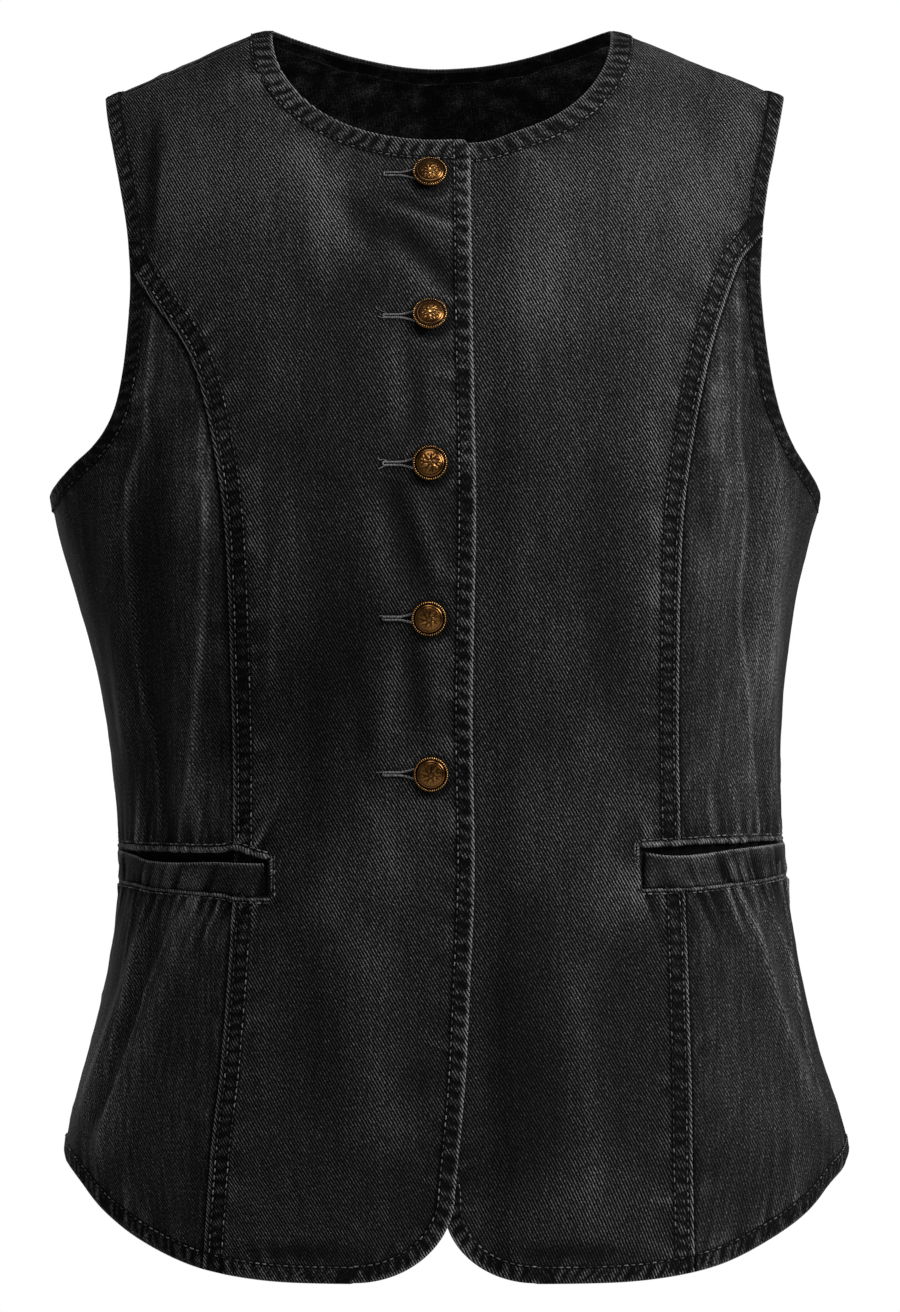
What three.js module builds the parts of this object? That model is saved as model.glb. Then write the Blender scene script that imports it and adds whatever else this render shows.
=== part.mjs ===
// A sleeveless denim vest with princess seams, in the shape it keeps when it is worn, empty.
// Millimetres. +Z is up, the front faces -Y, and +X is the wearer's left.
// The origin is midway between the neck ends of the two shoulder seams.

import * as THREE from "three";

// Driving dimensions
const WALL = 1.4; // one layer of denim with the allowances behind it
const SEAM_GAP = 0.3; // between panels that are sewn edge to edge
const LAY_GAP = 0.5; // between a panel and what lies on it or under it
const BORDER_RISE = 0.7; // a turned or felled border stands this much prouder
const BORDER_STEP = 1.2; // width of the slope at the inner side of a border
const NECK_BORDER = 10.5; // edge to topstitching at the neck
const HEM_BORDER = 7.6; // edge to topstitching at armholes and hem
const PLACKET_BORDER = 7.7; // edge to topstitching at the front opening
const FELL_BORDER = 9.6; // twin-needle felled seam on the front panels
const PLAIN_BORDER = 4; // seam edges with no felling on this side
const NARROW_SHARE = 0.28; // a border takes at most this share of the panel's width

const NECK_CENTRE = -4;
const NECK_HALF = 81;
const NECK_FRONT_DROP = 57.5;
const NECK_FRONT_POWER = 2.15;
const NECK_BACK_DROP = 14;
const NECK_BACK_POWER = 1.3;
const SHOULDER_ROLL = 130; // height over which the cloth rolls over the shoulder
// Each shoulder: distance of its tip, the slope, where the slope begins and the width over
// which it sets in, and how far in front of the ridge the seam lies, in radians of roll.
const SHOULDERS = {
  right: { tip: 165, slope: 0.45, start: 84, bend: 16, seamAtNeck: 0.2, seamAtTip: 0.12 },
  left: { tip: 160, slope: 0.395, start: 71.5, bend: 16, seamAtNeck: 0.05, seamAtTip: 0.05 },
};
const UNDERARM = -224;
const BACK_ARMHOLE_INSET = 1.5; // the back armhole edge lies this much nearer the middle
const PRINCESS_TOP = { right: -114, left: -101 }; // where the princess seams leave the armholes

// Sections of the worn garment: half widths to the wearer's right and left, depths to
// front and back of the shoulder line, and how full the four corners of the oval are.
const SECTIONS = [
  { z: 0, right: 185, left: 178, front: 62, back: 118, corner: 0.05 },
  { z: -57, right: 186, left: 178, front: 76, back: 112, corner: 0.06 },
  { z: -100, right: 187, left: 178, front: 88, back: 109, corner: 0.07 },
  { z: -150, right: 189, left: 178, front: 104, back: 112, corner: 0.09 },
  { z: -200, right: 191, left: 178, front: 116, back: 113, corner: 0.1 },
  { z: -226, right: 190.6, left: 176.4, front: 119, back: 111, corner: 0.1 },
  { z: -270, right: 179.2, left: 166.2, front: 119, back: 105, corner: 0.09 },
  { z: -310, right: 168.5, left: 160.7, front: 114, back: 98, corner: 0.08 },
  { z: -350, right: 162, left: 158.8, front: 108, back: 93, corner: 0.06 },
  { z: -400, right: 158.6, left: 160.2, front: 104, back: 94, corner: 0.05 },
  { z: -450, right: 164.5, left: 168, front: 106, back: 101, corner: 0.05 },
  { z: -490, right: 173.7, left: 177.5, front: 110, back: 108, corner: 0.05 },
  { z: -530, right: 184, left: 190, front: 115, back: 114, corner: 0.05 },
  { z: -560, right: 185, left: 191, front: 118, back: 117, corner: 0.05 },
  { z: -600, right: 185, left: 191, front: 121, back: 119, corner: 0.05 },
];

// Armhole edge seen from the front: distance from the middle at each height.
const ARMHOLE = [
  { z: -224, right: 191.2, left: 177 },
  { z: -219, right: 186.4, left: 174 },
  { z: -211, right: 178, left: 168.3 },
  { z: -202, right: 167.6, left: 162 },
  { z: -190, right: 159.3, left: 156.5 },
  { z: -175, right: 154.6, left: 152.2 },
  { z: -150, right: 151.4, left: 148.2 },
  { z: -125, right: 150.4, left: 146.2 },
  { z: -100, right: 152.5, left: 147.9 },
  { z: -80, right: 156, left: 150.3 },
  { z: -60, right: 160, left: 154.4 },
  { z: -45, right: 163.2, left: 157.6 },
  { z: -33, right: 165, left: 160 },
];

// Princess seam seen from the front: distance from the middle at each height.
const PRINCESS = [
  { z: -101, right: 156, left: 147.8 },
  { z: -114, right: 152, left: 137 },
  { z: -131, right: 141.5, left: 130 },
  { z: -157, right: 123, left: 121.7 },
  { z: -191, right: 112, left: 114.5 },
  { z: -238, right: 104.6, left: 108 },
  { z: -305, right: 102, left: 106.6 },
  { z: -386, right: 100.9, left: 107.6 },
  { z: -416, right: 101.4, left: 110 },
  { z: -492, right: 106.8, left: 112.2 },
  { z: -531, right: 111.2, left: 112.8 },
  { z: -600, right: 116, left: 113.6 },
];

// Front edges: the overlapping one, which has the buttonholes, and the one under it.
const FRONT_EDGES = [
  { z: -40, over: 9.3, under: -28 },
  { z: -150, over: 10.6, under: -28 },
  { z: -230, over: 12, under: -28 },
  { z: -330, over: 10.4, under: -28 },
  { z: -400, over: 11.4, under: -24 },
  { z: -453, over: 9.3, under: -17.5 },
  { z: -500, over: 6.9, under: -11 },
  { z: -549, over: 2.3, under: -3 },
];

// Hem height round the body, by the angle from the centre front.
const HEM = [
  { angle: 0, z: -590 },
  { angle: 22, z: -590.2 },
  { angle: 31, z: -588 },
  { angle: 39, z: -583 },
  { angle: 48, z: -573 },
  { angle: 58, z: -560.5 },
  { angle: 68, z: -547.5 },
  { angle: 78, z: -541 },
  { angle: 90, z: -537 },
  { angle: 110, z: -543 },
  { angle: 140, z: -559 },
  { angle: 180, z: -566 },
];

// Rounded lower corners of the fronts, as quarter ellipses.
const HEM_CORNER = {
  over: { edgeX: 2.3, wide: 47, high: 41 },
  under: { edgeX: -3, wide: 43, high: 36 },
};

// Large folds: where each starts and ends as seen from its own face, its half width and
// its height above (or, when negative, below) the plain surface.
const FOLDS = [
  { face: "front", topX: -152, topZ: -215, lowX: -152, lowZ: -345, half: 11, rise: 2.6 },
  { face: "front", topX: -115, topZ: -196, lowX: -122, lowZ: -380, half: 10, rise: 2.2 },
  { face: "front", topX: -136, topZ: -190, lowX: -138, lowZ: -380, half: 12, rise: -2.4 },
  { face: "front", topX: -82, topZ: -215, lowX: -86, lowZ: -300, half: 9, rise: 1.4 },
  { face: "front", topX: 150, topZ: -205, lowX: 154, lowZ: -385, half: 11, rise: 2.6 },
  { face: "front", topX: 128, topZ: -172, lowX: 118, lowZ: -270, half: 10, rise: 2 },
  { face: "front", topX: 137, topZ: -185, lowX: 136, lowZ: -300, half: 10, rise: -2 },
  { face: "front", topX: -144, topZ: -427, lowX: -172, lowZ: -510, half: 9, rise: 2.4 },
  { face: "front", topX: -127, topZ: -427, lowX: -165, lowZ: -535, half: 9, rise: 2.4 },
  { face: "front", topX: -136, topZ: -427, lowX: -168, lowZ: -520, half: 8, rise: -2 },
  { face: "front", topX: 143, topZ: -424, lowX: 176, lowZ: -520, half: 10, rise: 2.4 },
  { face: "front", topX: 153, topZ: -424, lowX: 166, lowZ: -470, half: 8, rise: 2 },
  { face: "front", topX: -70, topZ: -428, lowX: -66, lowZ: -520, half: 16, rise: -1.8 },
  { face: "front", topX: 80, topZ: -428, lowX: 88, lowZ: -540, half: 16, rise: -1.6 },
  { face: "back", topX: -118, topZ: -250, lowX: -110, lowZ: -420, half: 13, rise: 2.6 },
  { face: "back", topX: -60, topZ: -330, lowX: -74, lowZ: -520, half: 15, rise: -2.4 },
  { face: "back", topX: -92, topZ: -330, lowX: -112, lowZ: -530, half: 13, rise: 2.4 },
  { face: "back", topX: 112, topZ: -240, lowX: 106, lowZ: -410, half: 13, rise: 2.6 },
  { face: "back", topX: 54, topZ: -340, lowX: 66, lowZ: -530, half: 15, rise: -2.4 },
  { face: "back", topX: 88, topZ: -340, lowX: 106, lowZ: -525, half: 13, rise: 2.4 },
];
const FOLD_RADIUS = 150; // turns an angle round the body into a distance across a fold
const FOLD_FADE = 30; // a fold dies out over this height at each end

const WELTS = {
  right: { endX: -84, low: -412.5, high: -396.5 },
  left: { endX: 88, low: -409, high: -392.5 },
};
const WELT_THICK = 1.6;
const WELT_GAP = 0.7; // the welt keeps clear of the corners of the panel's flat faces
const WELT_GAPE = 1.4; // how far the free upper edge stands away from the panel
const FELL_SLOPE = 6; // a welt climbs onto the felled seam over this width
const WELT_SIDE_ANGLE = 88; // the welts run into the side seams

const BUTTONS = [
  { x: -9.4, z: -74, tilt: 4 },
  { x: -9.3, z: -142, tilt: 12 },
  { x: -9.2, z: -211, tilt: 0 },
  { x: -9.7, z: -282.5, tilt: 0 },
  { x: -8.8, z: -354.6, tilt: 0 },
];
const BUTTON_RADIUS = 8.2;
const BUTTON_STANDOFF = 1.6; // length of shank that shows under the head
const BUTTON_FOOT = 3; // radius of the shank where it meets the cloth
const BUTTON_SEGMENTS = 20;
const BUTTON_PROFILE = [
  { r: 0, h: 0 },
  { r: BUTTON_FOOT, h: 0 },
  { r: 2.2, h: BUTTON_STANDOFF },
  { r: 7, h: BUTTON_STANDOFF },
  { r: BUTTON_RADIUS, h: 2.3 },
  { r: BUTTON_RADIUS, h: 3.3 },
  { r: 7.4, h: 4 },
  { r: 6.6, h: 3.7 },
  { r: 3.6, h: 4.3 },
  { r: 0, h: 4.5 },
];

const FACING_WIDTH = 10.5;
const FACING_THICK = 1;
const FACING_GAP = 1; // the panels under it have flat faces, so it keeps clear of their corners

const DENIM = { color: 0x252527, roughness: 0.92, metalness: 0 };
const DENIM_INSIDE = { color: 0x3a3b3e, roughness: 0.95, metalness: 0 };
const BRASS = { color: 0x8a5a26, roughness: 0.38, metalness: 0.9 };

const HALF_TURN = Math.PI;
const QUARTER = Math.PI / 2;
const radians = THREE.MathUtils.degToRad;
const smooth = (x) => THREE.MathUtils.smoothstep(x, 0, 1);

// Cubic curve through one column of a table, with the slopes of its neighbours.
function column(rows, key, name) {
  const sorted = [...rows].sort((a, b) => a[key] - b[key]);
  const xs = sorted.map((row) => row[key]);
  const ys = sorted.map((row) => row[name]);
  const slopes = xs.map((_, i) => {
    const a = Math.max(i - 1, 0);
    const b = Math.min(i + 1, xs.length - 1);
    return (ys[b] - ys[a]) / (xs[b] - xs[a]);
  });
  return (at) => {
    const x = THREE.MathUtils.clamp(at, xs[0], xs[xs.length - 1]);
    let i = 0;
    while (i < xs.length - 2 && x > xs[i + 1]) i++;
    const span = xs[i + 1] - xs[i];
    const t = (x - xs[i]) / span;
    const rise = t * t * (3 - 2 * t);
    return (
      ys[i] * (1 - rise) + ys[i + 1] * rise +
      span * (slopes[i] * t * (1 - t) ** 2 - slopes[i + 1] * t * t * (1 - t))
    );
  };
}

const section = Object.fromEntries(
  ["right", "left", "front", "back", "corner"].map((name) => [name, column(SECTIONS, "z", name)]),
);
const armhole = { right: column(ARMHOLE, "z", "right"), left: column(ARMHOLE, "z", "left") };
const princess = { right: column(PRINCESS, "z", "right"), left: column(PRINCESS, "z", "left") };
const frontEdge = {
  over: column(FRONT_EDGES, "z", "over"),
  under: column(FRONT_EDGES, "z", "under"),
};
const hemHeight = column(HEM, "angle", "z");

// The surface of the garment
// A place on it is a Vector2: x is the angle round the body from the centre front, and y
// is the roll, which is 0 on the shoulder line and grows downwards.

// Height below the shoulder line for a roll: a quarter circle over the shoulder, then straight.
function heightOfRoll(roll) {
  return roll < QUARTER ? -SHOULDER_ROLL * (1 - Math.cos(roll)) : -SHOULDER_ROLL * (1 + roll - QUARTER);
}

function rollOfHeight(height) {
  const share = -height / SHOULDER_ROLL;
  return share < 1 ? Math.acos(1 - Math.max(share, 0)) : QUARTER + share - 1;
}

// How far the shoulder seam has fallen at distance x from the middle.
function seamFall(x) {
  const { slope, start, bend } = SHOULDERS[x < 0 ? "right" : "left"];
  const past = Math.max(Math.abs(x) - start, 0);
  return slope * (past < bend ? (past * past) / (2 * bend) : past - bend / 2);
}

// The same fall at any height, fading out down to the underarm
const shoulderFall = (x, height) => seamFall(x) * smooth(1 + height / -UNDERARM);

function cornerShape(angle, height) {
  return 1 + section.corner(height) * Math.sin(2 * angle) ** 2;
}

// Point of the plain surface, with no folds. A negative roll passes over the shoulder.
function plainPoint(angle, roll) {
  if (roll < 0) return plainPoint(Math.sign(angle) * HALF_TURN - angle, -roll);
  const height = heightOfRoll(roll);
  const shape = cornerShape(angle, height);
  const side = Math.sin(angle) < 0 ? "right" : "left";
  const face = Math.cos(angle) < 0 ? "back" : "front";
  const x = section[side](height) * Math.sin(angle) * shape;
  const depth = section[face](height) * (roll < QUARTER ? Math.sin(roll) : 1);
  return new THREE.Vector3(x, -depth * Math.cos(angle) * shape, height - shoulderFall(x, height));
}

// Angle from the centre front, 0 to 90 degrees, at which the oval reaches distance x.
function angleOfX(x, height) {
  const width = section[x < 0 ? "right" : "left"](height);
  const target = Math.min(Math.abs(x) / width, 1);
  let low = 0;
  let high = QUARTER;
  for (let i = 0; i < 40; i++) {
    const middle = (low + high) / 2;
    if (Math.sin(middle) * cornerShape(middle, height) < target) low = middle;
    else high = middle;
  }
  return Math.sign(x) * (low + high) / 2;
}

// The place that is seen at (x, z) on the front or the back.
function placeAt(x, z, face = "front") {
  let height = z;
  for (let i = 0; i < 12; i++) height = Math.min(z + shoulderFall(x, height), 0);
  const angle = angleOfX(x, height);
  const turned = face === "front" ? angle : (x < 0 ? -HALF_TURN : HALF_TURN) - angle;
  return new THREE.Vector2(turned, rollOfHeight(height));
}

const foldLines = FOLDS.map((fold) => ({
  ...fold,
  top: placeAt(fold.topX, fold.topZ, fold.face).x,
  low: placeAt(fold.lowX, fold.lowZ, fold.face).x,
}));

// Sum of the large folds: each is a bell across its line and fades at its ends.
function foldRise(angle, z) {
  let rise = 0;
  for (const fold of foldLines) {
    const along = (fold.topZ - z) / (fold.topZ - fold.lowZ);
    const ends = smooth((fold.topZ - z) / FOLD_FADE + 0.5) * smooth((z - fold.lowZ) / FOLD_FADE + 0.5);
    if (ends === 0) continue;
    const line = fold.top + (fold.low - fold.top) * THREE.MathUtils.clamp(along, 0, 1);
    const apart = Math.atan2(Math.sin(angle - line), Math.cos(angle - line));
    const across = (apart * FOLD_RADIUS) / fold.half;
    rise += fold.rise * ends * Math.exp(-across * across);
  }
  return rise;
}

// Unit vectors and the normal of the surface at a place, from small steps each way.
function frameAt(place) {
  const step = 1e-3;
  const at = (a, r) => plainPoint(place.x + a, place.y + r);
  const round = at(step, 0).sub(at(-step, 0)).divideScalar(2 * step);
  const down = at(0, step).sub(at(0, -step)).divideScalar(2 * step);
  const normal = new THREE.Vector3().crossVectors(down, round).normalize();
  return { round, down, normal };
}

// Point at a height above the garment's outer face.
function pointAt(place, above = 0) {
  const angle = place.y < 0 ? Math.sign(place.x) * HALF_TURN - place.x : place.x;
  const point = plainPoint(place.x, place.y);
  return point.addScaledVector(frameAt(place).normal, above + foldRise(angle, point.z));
}

// The place reached by moving a short way along the surface.
function moveAlong(place, motion) {
  const { round, down } = frameAt(place);
  const rr = round.dot(round);
  const rd = round.dot(down);
  const dd = down.dot(down);
  const mr = motion.dot(round);
  const md = motion.dot(down);
  const scale = rr * dd - rd * rd;
  const angle = (mr * dd - md * rd) / scale;
  const roll = (md * rr - mr * rd) / scale;
  return new THREE.Vector2(place.x + angle, place.y + roll);
}

// Lines on the surface

// Places along a line of places, evenly by real length. The first and last cells can be
// given a length of their own, so that a corner's wide border fits inside them.
function spread(line, count, endCell = 0) {
  const points = line.map((place) => plainPoint(place.x, place.y));
  const lengths = [0];
  for (let i = 1; i < line.length; i++) lengths.push(lengths[i - 1] + points[i].distanceTo(points[i - 1]));
  const total = lengths[lengths.length - 1];
  const wantedAt = (k) => {
    if (endCell === 0) return (total * k) / count;
    if (k === 0 || k === count) return (total * k) / count;
    return endCell + ((total - 2 * endCell) * (k - 1)) / (count - 2);
  };
  return Array.from({ length: count + 1 }, (_, k) => {
    const wanted = wantedAt(k);
    let i = 1;
    while (i < line.length - 1 && lengths[i] < wanted) i++;
    const share = (wanted - lengths[i - 1]) / (lengths[i] - lengths[i - 1]);
    return line[i - 1].clone().lerp(line[i], share);
  });
}

const LINE_STEPS = 120;
const steps = (make) => Array.from({ length: LINE_STEPS + 1 }, (_, k) => make(k / LINE_STEPS));
const mix = THREE.MathUtils.lerp;
const signOf = (side) => (side === "right" ? -1 : 1);

function hemPlace(angle) {
  const z = hemHeight(Math.abs(THREE.MathUtils.radToDeg(angle)));
  return new THREE.Vector2(angle, rollOfHeight(z));
}

// Hem between two angles
const hemLine = (from, to) => steps((t) => hemPlace(mix(from, to, t)));

// Where the princess seam meets the hem
function princessFoot(side) {
  let foot = hemPlace(0);
  for (let i = 0; i < 8; i++) {
    const z = heightOfRoll(hemPlace(foot.x).y);
    foot = placeAt(signOf(side) * princess[side](z), z);
  }
  return foot;
}

function princessLine(side) {
  const low = heightOfRoll(princessFoot(side).y);
  return steps((t) => {
    const z = mix(low, PRINCESS_TOP[side], t);
    const x = t < 1 ? Math.min(princess[side](z), armhole[side](z)) : armhole[side](z);
    return placeAt(signOf(side) * x, z);
  });
}

// Places on the back run from the left side, 90 degrees, to the right side, 270 degrees.
function onBack(line) {
  const full = 2 * HALF_TURN;
  return line.map((place) => new THREE.Vector2(place.x < 0 ? place.x + full : place.x, place.y));
}

// A place in front of the ridge, counted from the back over the ridge
const overRidge = (place) => new THREE.Vector2(HALF_TURN - place.x, -place.y);

// Armhole edge from one height up towards the shoulder on one face. On the front it stops
// at the shoulder seam, and on the back it goes on over the ridge to that seam.
function armholeLine(side, face, from, to) {
  const { tip, seamAtTip } = SHOULDERS[side];
  const ridgeZ = -seamFall(signOf(side) * tip);
  const seamZ = ridgeZ + heightOfRoll(seamAtTip);
  const end = Math.min(to, face === "back" ? ridgeZ : seamZ);
  const line = steps((t) => {
    const z = mix(from, end, t);
    const inset = face === "back" ? BACK_ARMHOLE_INSET * Math.sin(HALF_TURN * (z / UNDERARM)) : 0;
    return placeAt(signOf(side) * (armhole[side](z) - inset), z, face);
  });
  if (face === "front") return line;
  return [...onBack(line), overRidge(placeAt(signOf(side) * tip, seamZ))];
}

function sideLine(side) {
  const angle = signOf(side) * QUARTER;
  const low = hemPlace(angle).y;
  const high = rollOfHeight(UNDERARM);
  return steps((t) => new THREE.Vector2(angle, mix(low, high, t)));
}

// Neckline height at a distance from the middle, on the front or the back
function neckHeight(x, face) {
  const share = Math.min(Math.abs(x - NECK_CENTRE) / NECK_HALF, 1);
  if (face === "back") return -NECK_BACK_DROP * (1 - share * share) ** NECK_BACK_POWER;
  return -NECK_FRONT_DROP * (1 - share ** NECK_FRONT_POWER) ** (1 / NECK_FRONT_POWER);
}

// Neckline between two distances from the middle, closer together near the shoulders
function neckLine(fromX, toX, face) {
  const turn = (x) => Math.asin(THREE.MathUtils.clamp((x - NECK_CENTRE) / NECK_HALF, -1, 1));
  return steps((t) => {
    const x = NECK_CENTRE + NECK_HALF * Math.sin(mix(turn(fromX), turn(toX), t));
    return placeAt(x, neckHeight(x, face) - seamFall(x), face);
  });
}

const neckEnd = (side) => NECK_CENTRE + signOf(side) * NECK_HALF;

// Distance from the middle at which the front neckline meets the shoulder seam
function neckSeamX(side) {
  const share = heightOfRoll(SHOULDERS[side].seamAtNeck) / -NECK_FRONT_DROP;
  const across = (1 - share ** NECK_FRONT_POWER) ** (1 / NECK_FRONT_POWER);
  return NECK_CENTRE + signOf(side) * NECK_HALF * across;
}

// Back neckline from the right shoulder seam, over both ridges, to the left one
function backNeckLine() {
  const overEnd = (side) => neckLine(neckSeamX(side), neckEnd(side), "front").map(overRidge);
  return [
    ...overEnd("right").slice(0, -1),
    ...onBack(neckLine(neckEnd("right"), neckEnd("left"), "back")),
    ...overEnd("left").reverse().slice(1),
  ];
}

// Shoulder seam from the neck to the tip, as places on the front
function shoulderLine(side) {
  const { tip, seamAtNeck, seamAtTip } = SHOULDERS[side];
  return steps((t) => {
    const x = mix(neckSeamX(side), signOf(side) * tip, t);
    return placeAt(x, heightOfRoll(mix(seamAtNeck, seamAtTip, t)) - seamFall(x));
  });
}

// Front edge and the two halves of its rounded lower corner
function frontEdgeLines(layer, side) {
  const { edgeX, wide, high } = HEM_CORNER[layer];
  const inward = signOf(side);
  const hemZ = hemHeight(0);
  const cornerAt = (turn) =>
    placeAt(edgeX + inward * wide * (1 - Math.cos(turn)), hemZ + high * (1 - Math.sin(turn)));
  const neckX = frontEdge[layer](-NECK_FRONT_DROP);
  const edge = steps((t) => {
    const z = mix(hemZ + high, neckHeight(neckX, "front"), t);
    return placeAt(frontEdge[layer](z), z);
  });
  return {
    neckX,
    edge,
    upperCorner: steps((t) => cornerAt(mix(QUARTER / 2, 0, t))),
    lowerCorner: steps((t) => cornerAt(mix(QUARTER / 2, QUARTER, t))),
    hemStart: cornerAt(QUARTER).x,
  };
}

// Walls

// A closed solid from a patch of cells: outer and inner points, quads, and the rim loop.
function closedWall(outer, inner, quads, rim) {
  const count = outer.length;
  const points = [...outer, ...inner];
  const faces = [];
  const quad = (a, b, c, d, swap) => (swap ? faces.push(a, b, d, b, c, d) : faces.push(a, b, c, a, c, d));
  for (const [a, b, c, d] of quads) {
    const swap = outer[b].distanceTo(outer[d]) < outer[a].distanceTo(outer[c]);
    quad(a, b, c, d, swap);
    if (swap) faces.push(d + count, b + count, a + count, d + count, c + count, b + count);
    else faces.push(c + count, b + count, a + count, d + count, c + count, a + count);
  }
  rim.forEach((a, k) => {
    const b = rim[(k + 1) % rim.length];
    faces.push(b, a, a + count, b, a + count, b + count);
  });
  const geometry = new THREE.BufferGeometry().setFromPoints(points);
  geometry.setIndex(facingOut(points, faces));
  geometry.computeVertexNormals();
  return geometry;
}

// The same faces, turned round if they enclose a negative volume.
function facingOut(points, faces) {
  let volume = 0;
  for (let i = 0; i < faces.length; i += 3) {
    const [a, b, c] = [points[faces[i]], points[faces[i + 1]], points[faces[i + 2]]];
    volume += a.dot(new THREE.Vector3().crossVectors(b, c));
  }
  if (volume > 0) return faces;
  return faces.map((_, i) => faces[i - (i % 3) + 2 - (i % 3)]);
}

// A panel's outline runs along its foot, up its far side, back along its top and down its
// near side. Each stretch has its places, both ends included, and its kind of border.
function outlineOf(stretches) {
  const outline = stretches.flatMap(({ places, border }) =>
    places.slice(0, -1).map((place) => ({ place, after: border })),
  );
  outline.forEach((vertex, k) => {
    vertex.before = outline[(k + outline.length - 1) % outline.length].after;
  });
  return outline;
}

// Moves each outline place inwards by the distance that reach gives for its border, or by
// the most that the panel's width there allows.
function insetOutline(outline, reach, most) {
  const turning = loopTurn(outline);
  return outline.map((vertex, k) => {
    const previous = outline[(k + outline.length - 1) % outline.length].place;
    const next = outline[(k + 1) % outline.length].place;
    const here = plainPoint(vertex.place.x, vertex.place.y);
    const { normal } = frameAt(vertex.place);
    const inwards = (from, to) =>
      new THREE.Vector3().crossVectors(normal, to.clone().sub(from)).normalize().multiplyScalar(turning);
    const first = inwards(plainPoint(previous.x, previous.y), here);
    const second = inwards(here, plainPoint(next.x, next.y));
    const a = Math.min(reach(vertex.before), most[k]);
    const b = Math.min(reach(vertex.after), most[k]);
    return moveAlong(vertex.place, cornerMotion(first, second, a, b));
  });
}

// The motion that goes distance a away from one edge and b from the next.
function cornerMotion(first, second, a, b) {
  const cosine = first.dot(second);
  const nearlyStraight = 0.8;
  if (cosine > nearlyStraight) {
    return first.clone().add(second).normalize().multiplyScalar((a + b) / 2);
  }
  const scale = 1 - cosine * cosine;
  const alongFirst = (a - b * cosine) / scale;
  const alongSecond = (b - a * cosine) / scale;
  return first.clone().multiplyScalar(alongFirst).addScaledVector(second, alongSecond);
}

// +1 or -1: whether the outline runs round the outward normal or against it.
function loopTurn(outline) {
  let area = 0;
  outline.forEach(({ place }, k) => {
    const next = outline[(k + 1) % outline.length].place;
    area += place.x * next.y - next.x * place.y;
  });
  return area > 0 ? -1 : 1;
}

const RELAX_ROUNDS = 120;

// Grid places inside a loop: blended between its four sides, and then evened out so that
// no cell folds over, which is the usual elliptic smoothing of a mapped grid.
function evenGrid(loop, across, up) {
  const foot = (i) => loop[i];
  const far = (j) => loop[across + j];
  const top = (i) => loop[2 * across + up - i];
  const near = (j) => loop[(2 * across + 2 * up - j) % loop.length];
  const corner = [foot(0), foot(across), top(0), top(across)];
  const grid = Array.from({ length: up + 1 }, (_, j) =>
    Array.from({ length: across + 1 }, (_, i) => {
      if (j === 0) return foot(i);
      if (j === up) return top(i);
      if (i === 0) return near(j);
      if (i === across) return far(j);
      const u = i / across;
      const v = j / up;
      const sides = near(j).clone().lerp(far(j), u);
      const footPart = foot(i).clone().sub(corner[0].clone().lerp(corner[1], u));
      const topPart = top(i).clone().sub(corner[2].clone().lerp(corner[3], u));
      return sides.addScaledVector(footPart, 1 - v).addScaledVector(topPart, v);
    }),
  );
  for (let round = 0; round < RELAX_ROUNDS; round++) {
    for (let j = 1; j < up; j++) {
      for (let i = 1; i < across; i++) evenOut(grid, i, j);
    }
  }
  return grid;
}

// Moves one place of the grid to where its eight neighbours balance.
function evenOut(grid, i, j) {
  const at = (di, dj) => grid[j + dj][i + di].clone();
  const byRow = at(1, 0).sub(at(-1, 0)).multiplyScalar(0.5);
  const byColumn = at(0, 1).sub(at(0, -1)).multiplyScalar(0.5);
  const rowPull = byColumn.lengthSq();
  const columnPull = byRow.lengthSq();
  const twist = at(1, 1).sub(at(-1, 1)).sub(at(1, -1)).add(at(-1, -1));
  grid[j][i]
    .set(0, 0)
    .addScaledVector(at(1, 0).add(at(-1, 0)), rowPull)
    .addScaledVector(at(0, 1).add(at(0, -1)), columnPull)
    .addScaledVector(twist, -0.5 * byRow.dot(byColumn))
    .divideScalar(2 * (rowPull + columnPull));
}

// A panel: a plain field inside a raised border that follows its whole outline.
function panel(stretches, across, up, settle = () => 0) {
  const outline = outlineOf(stretches);
  const size = outline.length;
  const raw = outline.map((vertex) => vertex.place);
  const apart = (j, k) =>
    plainPoint(raw[j].x, raw[j].y).distanceTo(plainPoint(raw[k].x, raw[k].y));
  const most = raw.map((_, k) => {
    const onFoot = k <= across;
    const onTop = k >= across + up && k <= 2 * across + up;
    const row = onFoot ? apart(0, across) : onTop ? apart(across + up, 2 * across + up) : Infinity;
    return NARROW_SHARE * Math.min(apart(k, oppositeOf(k, across, up)), row);
  });
  const reaches = [
    { reach: () => SEAM_GAP / 2, rise: (border) => border.rise },
    { reach: (border) => border.width, rise: (border) => border.rise },
    { reach: (border) => border.width + BORDER_STEP, rise: () => 0 },
  ];
  const places = [];
  const rises = [];
  reaches.forEach(({ reach, rise }) => {
    places.push(...insetOutline(outline, reach, most));
    rises.push(...outline.map((vertex) => Math.max(rise(vertex.before), rise(vertex.after))));
  });
  const loop = places.slice(2 * size);
  const grid = evenGrid(loop, across, up);
  const index = grid.map((row, j) =>
    row.map((place, i) => {
      const onLoop = loop.indexOf(place);
      if (onLoop >= 0) return 2 * size + onLoop;
      places.push(place);
      rises.push(0);
      return places.length - 1;
    }),
  );
  const quads = [];
  for (let ring = 0; ring < 2; ring++) {
    for (let k = 0; k < size; k++) {
      const next = (k + 1) % size;
      quads.push([ring * size + k, ring * size + next, (ring + 1) * size + next, (ring + 1) * size + k]);
    }
  }
  for (let j = 0; j < up; j++) {
    for (let i = 0; i < across; i++) {
      quads.push([index[j][i], index[j][i + 1], index[j + 1][i + 1], index[j + 1][i]]);
    }
  }
  const drop = places.map((place) => settle(plainPoint(place.x, place.y)));
  const outer = places.map((place, k) => pointAt(place, rises[k] - drop[k]));
  const inner = places.map((place, k) => pointAt(place, -WALL - drop[k]));
  return closedWall(outer, inner, quads, Array.from({ length: size }, (_, k) => k));
}

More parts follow.
